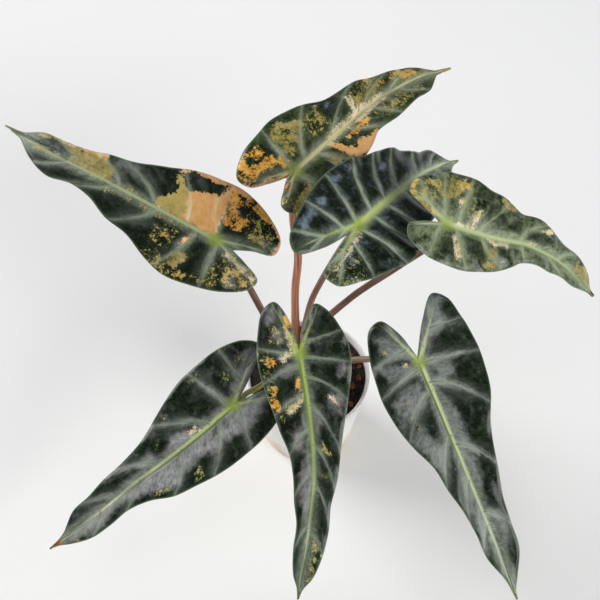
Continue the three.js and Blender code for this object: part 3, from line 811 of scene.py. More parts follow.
def depth_in(outline, s, t):
    """How far in mm each point lies inside an outline, below 0 outside it."""
    away = np.full(s.shape, FAR)
    inside = np.zeros(s.shape, bool)
    for (s0, t0), (s1, t1) in zip(outline, outline[1:] + outline[:1]):
        ds, dt = s1 - s0, t1 - t0
        u = np.clip(((s - s0) * ds + (t - t0) * dt) / (ds * ds + dt * dt), 0, 1)
        away = np.minimum(away, np.hypot(s - s0 - u * ds, t - t0 - u * dt))
        if t0 != t1:
            inside ^= ((t0 > t) != (t1 > t)) & (s < s0 + (t - t0) * ds / dt)
    return np.where(inside, away, -away)


def add_attribute(mesh, name, values):
    """Keeps a number, or a place as three numbers, at every point of the mesh."""
    kind, key = ("FLOAT", "value") if values.ndim == 1 else ("FLOAT_VECTOR", "vector")
    attribute = mesh.attributes.new(name, kind, "POINT")
    attribute.data.foreach_set(key, values.astype(np.float32).ravel())


# Markings: the outlines of each leaf's paler and darker tissue and of its painted sheen, kind
# by kind, as places in mm along the midrib and across it, more than 0 in the left half. Where two
# kinds meet, the one that stands later in PATCHES lies on top. The dark kind keeps the tissue
# green, and the sheen kind is a painted highlight that stands for the lights' reflections.
MARKINGS = {
    "left": {
        "dark": [
            [(-9, -20), (-4, -21), (-1, -27), (-9, -27)],
            [(22, -22), (27, -20), (35, -21), (32, -27), (24, -29), (20, -27)],
            [(12, -24), (16, -24), (17, -30), (12, -33), (9, -31)],
            [(111, 1), (124, 1), (134, -1), (128, -4), (116, -4)],
            [(-29, 18), (-22, 19), (-19, 15), (-25, 13)],
            [(54, 10), (58, 17), (70, 17), (73, 11), (66, 8)],
        ],
        "painted_sheen": [
            [(64, -8), (78, -8), (78, -14), (62, -15)], [(112, 0), (126, 0), (132, -3), (118, -4)],
        ],
        "moss": [
            [(-29, -12), (-20, -11), (-16, -14), (-25, -16)],
            [(74, 3), (90, 4), (104, 3), (108, 1), (106, -6), (98, -8), (88, -11), (80, -8),
             (76, -2)],
            [(100, -7), (106, -2), (110, -3), (114, -5.5), (126, -6.5), (136, -3), (140, -6),
             (120, -11), (100, -11)],
            [(114, 4), (136, 4), (134, 1), (122, 1), (114, 2)],
            [(11, 24), (13, 30), (19, 30), (20, 23), (17, 18), (13, 17), (9, 19)],
        ],
        "cream": [[(-36, 7), (-30, 8), (-20, 5), (-10, 3), (-10, 6), (-22, 9), (-34, 11)]],
        "tan": [
            [(21, 0), (44, 1), (45, -3), (39, -7), (36, -12), (36, -16), (41, -22), (38, -24),
             (33, -19), (28, -17), (24, -9)],
            [(84, -9), (96, -7.5), (112, -7.5), (112, -12), (84, -14)],
        ],
        "peach": [
            [(2, -1), (24, 0), (27, -9), (30, -17), (25, -20), (21, -22), (17, -23), (14, -27),
             (12, -32), (7, -33), (5, -22), (3, -12)],
            [(40, -25), (34, -29), (20, -30), (8, -31), (-6, -33), (-10, -38), (12, -40),
             (30, -36)],
            [(-35.8, -9), (-35, -20), (-21, -29), (-10, -33.5), (-10, -38), (-30, -36), (-42, -22),
             (-40, -9)],
        ],
        "gold": [
            [(25, 14), (32, 19), (34, 16), (29, 12)],
            [(3, 31), (9, 34), (13, 35), (9, 29), (4, 28)],
            [(-33, 12), (-31, 16), (-24, 21), (-16, 21), (-15, 16), (-19, 11), (-26, 10)],
        ],
        "amber": [
            [(-10, -12), (2, -10), (6, -19), (9, -31), (2, -32), (-3, -28), (-9, -26), (-13, -18)],
            [(-26, -25), (-16, -27), (-4, -30), (-4, -33), (-14, -32), (-26, -28)],
            [(12, 4), (14, 4), (17, 10), (18, 14), (15, 13)],
        ],
        "fleck": [[(60, 5), (64, 11), (84, 10), (84, 5)]],
        "speck": [
            [(-35, -13), (-16, -9), (-12, -20), (-6, -28), (-24, -27), (-34, -20)],
            [(20, 9), (24, 21), (36, 24), (38, 12), (30, 6)],
            [(0, 27), (2, 35), (20, 37), (20, 30), (10, 32), (6, 26)],
            [(18, 28), (22, 36), (38, 32), (30, 24)], [(-16, 28), (-3, 30), (-2, 8), (-14, 6)],
            [(-38, 10), (-32, 20), (-12, 25), (-10, 6), (-30, 4)],
            [(20, 2), (40, 4), (70, 6), (70, 10), (40, 8), (20, 6)],
            [(42, 1), (56, 0), (70, -4), (70, 2)],
        ],
    },
    "back": {
        "dark": [[(44, 8), (42, 20), (56, 22), (62, 12), (56, 6)]],
        "olive": [
            [(5, 8), (4, 24), (8, 32), (15, 25), (18, 16), (14, 8), (10, 6)],
            [(62, 5), (66, 15), (82, 17), (96, 14), (94, 4), (78, 2)],
            [(84, -4), (90, -11), (104, -11), (104, -6)],
        ],
        "moss": [
            [(10, 33), (16, 33), (18, 27), (22, 25), (28, 21), (25, 16), (19, 17), (14, 26)],
            [(19, -9), (28, -9), (30, -15), (20, -16)],
            [(-14, -14), (0, -13), (-2, -18), (-18, -22), (-24, -19)],
        ],
        "cream": [
            [(60, 4), (64, 14), (70, 14), (64, 4)], [(26, -1), (33, -1), (34, -5), (30, -6)],
            [(30, 4), (56, 4), (92, 3), (92, -3), (60, -4), (34, -2)],
        ],
        "peach": [
            [(-32, 18), (-28, 11), (-18, 7), (-8, 3), (-3, 1), (-8, -1), (-20, 4), (-32, 9)],
            [(86, 16.5), (100, 14.5), (118, 12), (130, 9), (130, 12), (112, 16), (92, 19)],
            [(28, -4), (34, -4), (36, -12), (40, -17), (44, -21), (39, -22), (32, -13)],
            [(38, -17), (44, -13), (50, -14), (54, -17), (60, -15), (67, -16), (60, -19), (48, -22),
             (42, -24)],
        ],
        "gold": [[(104, 8), (108, 12), (118, 10), (112, 7)]],
        "amber": [
            [(-28, 13), (-30, 20), (-26, 27), (-20, 27), (-20, 21), (-14, 18), (-9, 19), (-5, 20),
             (-4, 13), (-9, 10), (-14, 13), (-19, 13), (-24, 10)],
            [(-16, 28), (-7, 27), (-5, 20), (-13, 20)], [(-5, 12), (0, 13), (1, 6), (-3, 4)],
            [(90, 7), (91, 10), (99, 10), (100, 7)],
            [(112, 4), (114, 8), (122, 8), (129, 4), (124, 3)],
            [(41, -7), (50, -5), (60, -5), (65, -7), (58, -9), (48, -9)],
            [(-18, -4), (-11, -4), (-11, -8), (-17, -8)],
        ],
        "speck": [
            [(26, 8), (26, 20), (44, 24), (44, 8)],
            [(98, 2), (102, 12), (124, 9), (140, 5), (138, 0), (118, 0)],
            [(-24, -8), (-2, -6), (-2, -18), (-22, -20)],
            [(66, -4), (80, -14), (124, -12), (128, -4)],
        ],
    },
    "centre": {
        # Small bluish spots of painted reflection, where the window pane would mirror in the
        # pillows
        "painted_sheen": [
            [(-38, 19), (-34, 24), (-30, 23), (-33, 17)],
            [(-26, 23), (-22, 28), (-20, 25), (-23, 22)],
            [(-14, 24), (-11, 28), (-8, 26), (-11, 22)], [(9, 30), (14, 32), (18, 31), (14, 29)],
            [(28, 30), (31, 33), (33, 30), (31, 28)], [(50, 19), (56, 21), (60, 19), (54, 17)],
        ],
        "cream": [
            [(-3, -2), (-4, -5), (-16, -7.5), (-30, -10.5), (-42, -12), (-42, -10), (-28, -8),
             (-12, -4.5)],
        ],
        "fleck": [
            [(-20, -4), (-22, -26), (-34, -25), (-48, -14), (-47, -4), (-30, -4)],
            [(-38, -6), (-38, -20), (-42, -22), (-47, -12), (-42, -6)],
        ],
    },
    "right": {
        "dark": [
            [(38, -6), (42, -6), (46, -11), (38, -12)], [(26, 8), (28, 20), (38, 22), (44, 10)],
            [(44, 8), (50, 14), (58, 14), (56, 6)], [(62, 4), (66, 11), (82, 9), (78, 3)],
            [(14, 22), (20, 30), (34, 29), (30, 22)], [(-4, -10), (0, -20), (6, -22), (4, -9)],
            [(-3, -10), (-2, -20), (5, -22), (3, -9)], [(14, -4), (16, -14), (28, -18), (26, -5)],
        ],
        "olive": [
            [(-8, 17), (-8, 27), (-2, 30), (6, 30), (6, 20), (0, 15)],
            [(28, -8), (34, -7), (38, -9), (36, -13), (30, -13)],
        ],
        "moss": [
            [(36, 24), (42, 28), (50, 23), (56, 20), (50, 18), (44, 21)],
            [(25, -19), (33, -16), (40, -14), (37, -19), (30, -22)],
            [(112, 2), (114, 9), (124, 9), (132, 5), (128, 1)],
        ],
        "cream": [
            [(6, 17), (8, 19), (9, 10), (6, 11)],
            [(2, 0), (8, 3), (16, 3), (18, 8), (19, 13), (22, 14), (21, 8), (19, 2), (10, 0)],
            [(74, 12), (78, 16), (86, 15), (82, 12)], [(64, 1), (66, 3), (72, 3), (71, 1)],
            [(3, -6), (7, -6), (11, -12), (13, -19), (9, -21), (5, -14)],
            [(29, -1), (34, -5), (40, -4), (44, -5), (47, -1), (42, 1), (34, 1)],
        ],
        "gold": [
            [(-29, 13), (-28, 21), (-24, 24), (-23, 20), (-25, 16), (-23, 12), (-17, 9), (-8, 6),
             (-6, 3), (-14, 4), (-27, 9)],
            [(-20, 20), (-15, 24), (-8, 23), (-8, 20), (-13, 20)],
            [(-21, 15), (-17, 18), (-14, 15), (-18, 12)],
            [(3, 26), (7, 31), (13, 30), (13, 26), (7, 24)],
        ],
        "speck": [
            [(-24, 14), (-20, 24), (-6, 26), (-4, 12), (-16, 9)],
            [(9, 4), (8, 18), (14, 26), (20, 24), (20, 6)],
            [(20, 10), (26, 19), (36, 17), (28, 11)],
        ],
    },
    "front_left": {
        "dark": [
            [(4, 8), (8, 13), (12, 9), (8, 6)],
            [(10, -8), (12, -20), (24, -21), (27, -12), (22, -5)],
        ],
        "painted_sheen": [
            [(-20, 8), (-12, 14), (0, 18), (16, 16), (20, 10), (8, 5), (-8, 4)],
            [(22, 4), (20, 12), (26, 16), (34, 13), (48, 14), (50, 5), (34, 4)],
            [(50, 4), (52, 14), (58, 19), (68, 16), (86, 9), (100, 5), (100, 2), (70, 3)],
            [(104, 2), (106, 7), (126, 8), (142, 4), (120, 0)],
            [(30, -3), (36, -8), (46, -9), (54, -4), (44, -2)],
            [(60, -4), (64, -10), (74, -6), (70, -3)],
            [(-38, -18), (-20, -7), (-6, -3), (-8, -9), (-28, -21)],
        ],
        "cream": [[(26, -1), (33, -2), (33, -5), (28, -6)]],
        "fleck": [
            [(5, -27), (11, -27), (11, -31), (6, -31)],
            [(-10, -13), (-4, -16), (-8, -21), (-12, -18)],
            [(39, -20), (45, -20), (45, -23), (40, -23)],
            [(54, -7), (59, -7), (59, -11), (54, -11)], [(40, 16), (42, 25), (48, 24), (46, 16)],
            [(62, 15), (64, 19), (78, 17), (74, 13)],
            [(-26, -18), (-18, -18), (-20, -26), (-26, -24)],
            [(106, -3), (108, 2), (116, 1), (114, -3)], [(128, 7), (145, 5), (145, 9), (132, 11)],
        ],
    },
    "front": {
        "dark": [
            [(-22, 9), (-20, 23), (-8, 26), (-7, 8)], [(-5, 7), (-6, 25), (5, 28), (6, 9)],
            [(10, 6), (11, 22), (22, 24), (27, 15), (26, 6)],
            [(31, 5), (33, 14), (45, 17), (48, 6)], [(12, -6), (14, -16), (26, -18), (27, -8)],
            [(38, -5), (40, -14), (50, -12), (48, -5)],
            [(44, 6), (44, 14), (58, 15), (60, 9), (52, 6)], [(64, 4), (66, 12), (76, 11), (76, 4)],
            [(79, 3.5), (81, 10), (101, 9), (100, 3.5)],
        ],
        "painted_sheen": [
            [(-16, -10), (-8, -10), (-9, -14), (-15, -15)],
            [(11, 27), (16, 27), (18, 23), (12, 23)],
            [(28, 15), (29, 21), (36, 23), (42, 20), (40, 16), (34, 14)],
            [(34, 3), (36, 8), (46, 8), (50, 4)], [(46, -6), (50, -12), (60, -12), (62, -5)],
            [(72, -2), (76, -8), (96, -7), (100, -2)],
            [(-31, -12), (-27, -18), (-20, -18), (-22, -13)],
            [(8, -4), (10, -14), (13, -12), (11, -3)],
        ],
        "olive": [[(66, 5), (70, 10), (80, 10), (78, 5)]],
        "cream": [
            [(-22, -6), (-8, -3), (0, -1), (1, -4), (-6, -6), (-14, -7)],
            [(-1, -3), (2, -5), (4.5, -12), (3, -13), (-1, -8)],
            [(26, -1), (31, -2), (38, -12), (36, -14), (30, -8)],
            [(29, 12), (30, 16), (36, 19), (32, 15)],
        ],
        "tan": [[(56, 6), (60, 8), (65, 12), (68, 11), (62, 6)]],
        "amber": [
            [(1, -17), (5, -16), (7, -20), (3, -23), (0, -20)],
            [(25, -20), (29, -18), (35, -18), (32, -22), (26, -23)],
            [(18, -17), (22, -15), (25, -21), (19, -21)],
            [(-26, -4.5), (-17, -3.5), (-16, -6), (-24, -7)],
            [(14, -3), (24, -3), (22, -6), (17, -5.5)],
        ],
        "fleck": [
            [(16, -10), (26, -10), (28, -24), (14, -24)],
            [(-20, -12), (-8, -10), (-7, -17), (-18, -18)],
            [(36, -7), (42, -8), (44, -17), (38, -18)], [(28, -7), (39, -7), (40, -13), (30, -14)],
            [(-4, -18), (-4, -26), (12, -27), (12, -20)], [(32, 3), (34, 15), (39, 15), (40, 3)],
            [(42, 3), (44, 8), (60, 7), (60, 3)], [(108, 4), (124, 11), (144, 8), (144, 3)],
        ],
    },
    "front_right": {
        "dark": [
            [(-35, -14), (-26, -15), (-26, -20), (-33, -20)],
            [(6, 20), (8, 34), (28, 34), (22, 20), (16, 18)],
            [(34, 14), (38, 28), (58, 24), (60, 12), (44, 12)],
            [(70, 10), (72, 18), (100, 14), (98, 8)],
        ],
        "painted_sheen": [
            [(-36, -9), (-22, -8), (-8, -1), (-10, -4), (-24, -12)],
            [(-25, -22), (-22, -12), (-4, -5), (-8, -18)], [(-6, -27), (0, -6), (5, -7), (6, -24)],
            [(12, -6), (20, -6), (34, -24), (40, -28), (20, -28), (14, -20)],
            [(40, -16), (46, -25), (62, -20), (74, -12), (60, -8)],
            [(4, 6), (10, 5), (18, 10), (16, 17), (6, 17)],
            [(24, 5), (60, 3), (60, 8), (46, 10), (32, 9)],
            [(-38, 22), (-25, 16), (-10, 5), (-12, 18), (-20, 26), (-36, 30)],
            [(62, 3), (92, 3), (88, 6), (70, 9)], [(104, 4), (132, 5), (122, 11), (108, 11)],
            [(80, -4), (100, -8), (132, -8), (112, -3)],
        ],
        "cream": [[(-3, -9), (0, -8), (1, -12), (-2, -13)]],
        "fleck": [
            [(-16, -18), (-9, -18), (-9, -23), (-15, -23)],
            [(20, -16), (28, -18), (28, -27), (22, -26)],
            [(37, -16), (41, -17), (41, -19), (37, -19)],
            [(54, -16), (60, -15), (60, -21), (55, -21)], [(70, -4), (74, -4), (74, -7), (71, -7)],
        ],
    },
}

# Kind of tissue: the depth it fills to, the push of the coarse and of the fine noise, where it
# is cut, how soft its edge is, and its colours where the noise is low, middling and high
PATCHES = {
    "dark": (0.85, 1.4, 2.4, 0.5, 0.1),
    # Painted sheen: soft pale patches that stand for the lights' reflections
    "painted_sheen": (1.0, 0.9, 1.3, 0.55, 0.62),
    "olive": (0.62, 1.2, 3.2, 0.58, 0.12, "#5c5a2a", "#8a8244", "#aa9c5c"),
    "moss": (0.80, 1.2, 2.4, 0.53, 0.12, "#7a733f", "#978b56", "#b5a772"),
    "cream": (0.72, 0.9, 2.8, 0.55, 0.14, "#a3946c", "#d2c39c", "#eadcc0"),
    "tan": (0.93, 1.0, 1.6, 0.5, 0.07, "#9a8a48", "#b9a562", "#d2bd7e"),
    "peach": (0.95, 1.0, 1.8, 0.5, 0.09, "#c79e54", "#dda868", "#efc092"),
    "gold": (0.68, 1.3, 3.2, 0.57, 0.1, "#8f7c3a", "#b89c50", "#d6c17e"),
    "amber": (0.68, 1.3, 3.4, 0.56, 0.08, "#ad7c28", "#d89b3c", "#e9bc6c"),
    "fleck": (0.60, 1.2, 3.8, 0.77, 0.14, "#5f6b33", "#8e9350", "#bdb676"),
    "speck": (0.60, 1.2, 3.6, 0.76, 0.14, "#62632f", "#948b48", "#bcab62"),
}
PATCH_DEPTH = 6.0  # mm over which a patch's depth runs from 0 to 1
EVEN_KINDS = ("tan", "peach")  # broad areas of one tone, with a plain edge
BARE_KINDS = ("tan", "peach", "cream")  # no green at all, so their veins and margin are pale

# Settings of nodes that these materials use often
SMOOTH = {"interpolation_type": "SMOOTHSTEP"}
COLOURS = {"data_type": "RGBA"}
PLUS = {"operation": "ADD"}
TIMES = {"operation": "MULTIPLY"}
TIMES_PLUS = {"operation": "MULTIPLY_ADD"}
LARGER = {"operation": "MAXIMUM"}


def vein_pattern(node, tissue, rib_scale=1.0, reach=1.0):
    """Where a blade's side veins and main veins show, the smoky haze beside both, and the
    painted shade at the feet of the side veins. Rib_scale widens the main veins, reach the side
    veins' haze."""
    row, count, bay, away, strength, width = (
        node("Attribute", attribute_name=name, out="Fac")
        for name in ("row", "vein_count", "bay_width", "rib_distance", "rib_strength", "rib_width")
    )
    near = node("Math", node("Math", count, 0.5, operation="PINGPONG"), bay, **TIMES)
    stray = node("Math", node("TexNoise", Vector=tissue, Scale=0.35), 2.0, -1.0, **TIMES_PLUS)
    near = node("Math", node("Math", near, stray, **PLUS), operation="ABSOLUTE")
    feather = node("TexNoise", Vector=tissue, Scale=1.1, Detail=4.0, Roughness=0.65)
    feather = node("MapRange", feather, 0.32, 0.68, 0.45, 1.15, **SMOOTH)
    smoke = node("TexNoise", Vector=tissue, Scale=0.2, Detail=3.0)
    smoke = node("MapRange", smoke, 0.3, 0.7, 0.6, 1.15, **SMOOTH)

    # A side vein thins out and fades towards the margin, and its halo narrows with it
    core = node("Math", near, node("MapRange", row, 0.0, 1.0, 1.0, 0.5), operation="DIVIDE")
    core = node("MapRange", core, 1.8, 0.2, 0.0, 1.0, **SMOOTH)
    fading = node("MapRange", row, 1.0, 0.1, 0.28, 0.85, **SMOOTH)
    core = node("Math", core, fading, **TIMES)
    # Painted shade: a dark line at the feet of the side veins near the midrib, where they sink in
    foot = node("MapRange", row, 0.5, 0.1)
    foot = node("Math", node("MapRange", near, 0.7, 0.2), foot, **TIMES)
    halo = node("MapRange", row, 0.0, 1.0, 5.2 * reach, 3.0 * reach)
    halo = node("Math", near, halo, operation="DIVIDE")
    halo = node("MapRange", halo, 1.0, 0.0, 0.0, 0.72, **SMOOTH)
    glow = node("MapRange", near, 9.0 * reach, 0.0, 0.0, 0.3, **SMOOTH)
    fading = node("MapRange", row, 1.0, 0.3, 0.4, 1.0, **SMOOTH)
    halo = node("Math", node("Math", halo, glow, **PLUS), fading, **TIMES)

    rib = node("Math", away, width, operation="DIVIDE")
    rib = node("MapRange", rib, 1.5 * rib_scale, 0.3 * rib_scale, 0.0, 0.95, **SMOOTH)
    rib = node("Math", rib, strength, **TIMES)
    rib_halo = node("MapRange", away, 7.5, 0.3, 0.0, 1.0, **SMOOTH)
    rib_halo = node("Math", rib_halo, strength, **TIMES)
    haze = node("Math", halo, rib_halo, **LARGER)
    haze = node("Math", node("Math", haze, feather, **TIMES), smoke, **TIMES)
    return core, rib, haze, foot


def mingled(node, first, share, second):
    """Two noise patterns in one: the first with this share and the second with the rest."""
    return node("Math", first, share, node("Math", second, 1 - share, **TIMES), **TIMES_PLUS)


def tissue_noise(node, tissue):
    """Coarse blotches, fine ones and specks under a millimetre across, with the flat place."""
    flat_place = node("Attribute", attribute_name="flat_place", out="Vector")
    coarse = node("TexNoise", Vector=flat_place, Scale=0.14, Detail=4.0, Roughness=0.6)
    fine = node("TexNoise", Vector=flat_place, Scale=0.5, Detail=4.0, Roughness=0.68)
    streak = node("TexNoise", Vector=tissue, Scale=0.8, Detail=3.0)
    specks = node("TexNoise", Vector=flat_place, Scale=0.75, Detail=6.0, Roughness=0.78)
    return flat_place, coarse, mingled(node, fine, 0.65, streak), specks


def patch_mask(node, kind, coarse, fine):
    """A ragged patch: its depth is pushed about by coarse and fine noise, then cut."""
    fill, coarse_push, fine_push, cut, soft = PATCHES[kind][:5]
    depth = node("Attribute", attribute_name=kind, out="Fac")
    depth = node("Math", depth, fill, operation="MINIMUM")
    depth = node("Math", coarse, coarse_push, depth, **TIMES_PLUS)
    depth = node("Math", fine, fine_push, depth, **TIMES_PLUS)
    edge = cut + 0.5 * (coarse_push + fine_push)
    return node("MapRange", depth, edge - soft, edge + soft, 0.0, 1.0, **SMOOTH)


def upper_material(name, leaf):
    """Leaf, upper face: a waxy cuticle over nearly black green tissue, with sage veins sunk in it
    and, on some leaves, painted shade beside the midrib's groove. Where the plant makes no green,
    cream, amber and olive tissue shows in ragged splashes, and grey or bluish patches of painted
    sheen stand for the lights' reflections."""
    material, node = new_material(name)
    tissue = node("Attribute", attribute_name="tissue", out="Vector")
    core, rib, haze, foot = vein_pattern(node, tissue, leaf["rib"], leaf["halo"])
    flat_place, coarse, fine, specks = tissue_noise(node, tissue)
    margin, along, beside, joint, tip = (
        node("Attribute", attribute_name=name, out="Fac")
        for name in (
            "margin_distance", "spine_distance", "rib_offset", "attach_distance", "tip_distance",
        )
    )

    # Green tissue, mottled at 3 mm, under a paler veil and a net of the finest veins
    mottle = node("TexNoise", Vector=flat_place, Scale=0.3, Detail=5.0, Roughness=0.65)
    greens = [(0.3, "#020502"), (0.5, "#091608"), (0.7, "#1d3216")]
    colour = node("ValToRGB", mottle, stops=greens)
    tone = mingled(node, coarse, 0.5, fine)
    veil = node("MapRange", tone, 0.4, 0.62, 0.0, leaf["pale"], **SMOOTH)
    dark = patch_mask(node, "dark", coarse, fine)
    clear = node("MapRange", dark, 0.0, 1.0, 1.0, 0.3)
    colour = node("Mix", node("Math", veil, clear, **TIMES), colour, leaf["veil"], **COLOURS)
    net = node("TexVoronoi", Vector=flat_place, Scale=0.42, feature="DISTANCE_TO_EDGE")
    lace = node("MapRange", net, 0.13, 0.02, 0.0, 0.02, **SMOOTH)
    colour = node("Mix", lace, colour, leaf["vein"], **COLOURS)

    # Painted sheen: pale grey or bluish patches, streaked across the rows of side veins, that stand
    # for the lights' reflections on the wax; then the haze beside the veins
    painted_sheen_colour, painted_sheen_strength = leaf["painted_sheen_look"]
    cloud = node("TexNoise", Vector=flat_place, Scale=0.2, Detail=4.0, Roughness=0.55)
    fluff = node("TexNoise", Vector=tissue, Scale=0.9, Detail=4.0, Roughness=0.6)
    thin, thick = 0.45 * painted_sheen_strength, 1.1 * painted_sheen_strength
    fluff = node("MapRange", mingled(node, fluff, 0.6, mottle), 0.36, 0.62, thin, thick, **SMOOTH)
    painted_sheen = patch_mask(node, "painted_sheen", coarse, cloud)
    painted_sheen = node("Math", painted_sheen, fluff, use_clamp=True, **TIMES)
    colour = node("Mix", painted_sheen, colour, painted_sheen_colour, **COLOURS)
    haze = node("Math", haze, leaf["haze"], use_clamp=True, **TIMES)
    haze = node("Math", haze, clear, **TIMES)
    colour = node("Mix", haze, colour, leaf["vein"], **COLOURS)
    band = node("MapRange", margin, 1.6, 0.5, 0.0, 0.6, **SMOOTH)
    colour = node("Mix", band, colour, "#4b5a49", **COLOURS)

    # Tissue without green, laid on kind by kind, but not over the dark islands in it
    bare = None
    flecked = mingled(node, specks, 0.5, fine)
    for kind, (*_, low, middle, high) in list(PATCHES.items())[2:]:
        even = kind in EVEN_KINDS
        spread = 0.22 if even else 0.1
        tints = [(0.5 - spread, low), (0.5, middle), (0.5 + spread, high)]
        mask = patch_mask(node, kind, coarse, fine if even else flecked)
        mask = node("Math", mask, dark, operation="SUBTRACT", use_clamp=True)
        colour = node("Mix", mask, colour, node("ValToRGB", tone, stops=tints), **COLOURS)
        if kind in BARE_KINDS:
            bare = mask if bare is None else node("Math", bare, mask, **LARGER)

    # A pink edge round the bare areas, then the veins, the pale rim and the midrib over all
    blush = node("MapRange", margin, 2.6, 0.8, 0.0, 0.6, **SMOOTH)
    colour = node("Mix", node("Math", blush, bare, **TIMES), colour, "#d39a7e", **COLOURS)
    vein_colour = node("Mix", bare, leaf["vein"], "#e8dcb4", **COLOURS)
    colour = node("Mix", core, colour, vein_colour, **COLOURS)
    rim = node("MapRange", margin, 0.7, 0.2, 0.0, 0.5, **SMOOTH)
    colour = node("Mix", rim, colour, "#8b9a78", **COLOURS)
    midrib = node("Mix", node("MapRange", along, 10.0, 110.0), *leaf["midrib_colours"], **COLOURS)
    colour = node("Mix", rib, colour, midrib, **COLOURS)
    # Painted shade of the groove beside the midrib, joined by the painted shade at the side veins'
    # feet
    if leaf["groove_shade"]:
        offset, groove_shade_colour = leaf["groove_shade"]
        groove_shade = node("Math", node("Math", beside, -offset, **PLUS), operation="ABSOLUTE")
        groove_shade = node("MapRange", groove_shade, 1.1, 0.4, 0.0, 0.85, **SMOOTH)
        groove_shade = node("Math", groove_shade, node("MapRange", along, 105.0, 50.0), **TIMES)
        groove_shade = node("Math", groove_shade, node("Math", foot, 0.7, **TIMES), **LARGER)
        colour = node("Mix", groove_shade, colour, groove_shade_colour, **COLOURS)
    joint = node("MapRange", joint, 8.0, 1.0, 0.0, 0.75, **SMOOTH)
    colour = node("Mix", joint, colour, "#93a643", **COLOURS)
    tip_colour, tip_length = leaf["tip"]
    tip = node("MapRange", tip, tip_length, 0.7 * tip_length, **SMOOTH)
    colour = node("Mix", tip, colour, tip_colour, **COLOURS)

    # Cells about 2.5 mm across stand up between the net's lines, under the skin's own grain
    cells = node("MapRange", net, 0.0, 0.14, 0.0, 1.0, **SMOOTH)
    grain = node("TexNoise", Vector=tissue, Scale=2.4, Detail=2.0)
    grain = node("Math", cells, 0.35, grain, **TIMES_PLUS)
    bump = node("Bump", Height=grain, Distance=0.00008, Strength=0.5)
    velvet = node("Math", painted_sheen, haze, **LARGER)
    roughness = node("MapRange", velvet, 0.0, 0.6, 0.17, 0.45)
    surface = node(
        "BsdfPrincipled", Base_Color=colour, Roughness=roughness, IOR=1.42,
        Specular_IOR_Level=0.35, Normal=bump,
    )
    node("OutputMaterial", surface)
    return material


def under_material():
    """Leaf, under face: dull grey-green flushed with purple, paler on its raised veins."""
    material, node = new_material("leaf_underside_matt_cuticle")
    tissue = node("Attribute", attribute_name="tissue", out="Vector")
    core, rib, haze, _ = vein_pattern(node, tissue)
    _, coarse, fine, _ = tissue_noise(node, tissue)
    flush = node("MapRange", coarse, 0.3, 0.7, **SMOOTH)
    colour = node("Mix", flush, "#544c49", "#6d7c66", **COLOURS)
    for kind, tint in (("tan", "#a39765"), ("peach", "#c79f77"), ("amber", "#b98f5c")):
        bare = node("Math", patch_mask(node, kind, coarse, fine), 0.6, **TIMES)
        colour = node("Mix", bare, colour, tint, **COLOURS)
    haze = node("Math", haze, 0.6, **TIMES)
    colour = node("Mix", haze, colour, "#7d8c72", **COLOURS)
    colour = node("Mix", core, colour, "#93a27f", **COLOURS)
    colour = node("Mix", rib, colour, "#93a063", **COLOURS)
    bump = node("Bump", Height=fine, Distance=0.0003, Strength=0.6)
    surface = node("BsdfPrincipled", Base_Color=colour, Roughness=0.58, IOR=1.44, Normal=bump)
    node("OutputMaterial", surface)
    return material


ATTRIBUTES = (
    "row", "vein_count", "bay_width", "rib_distance", "rib_width", "rib_strength", "rib_offset",
    "margin_distance", "spine_distance", "attach_distance", "tip_distance", "tissue", "flat_place",
)

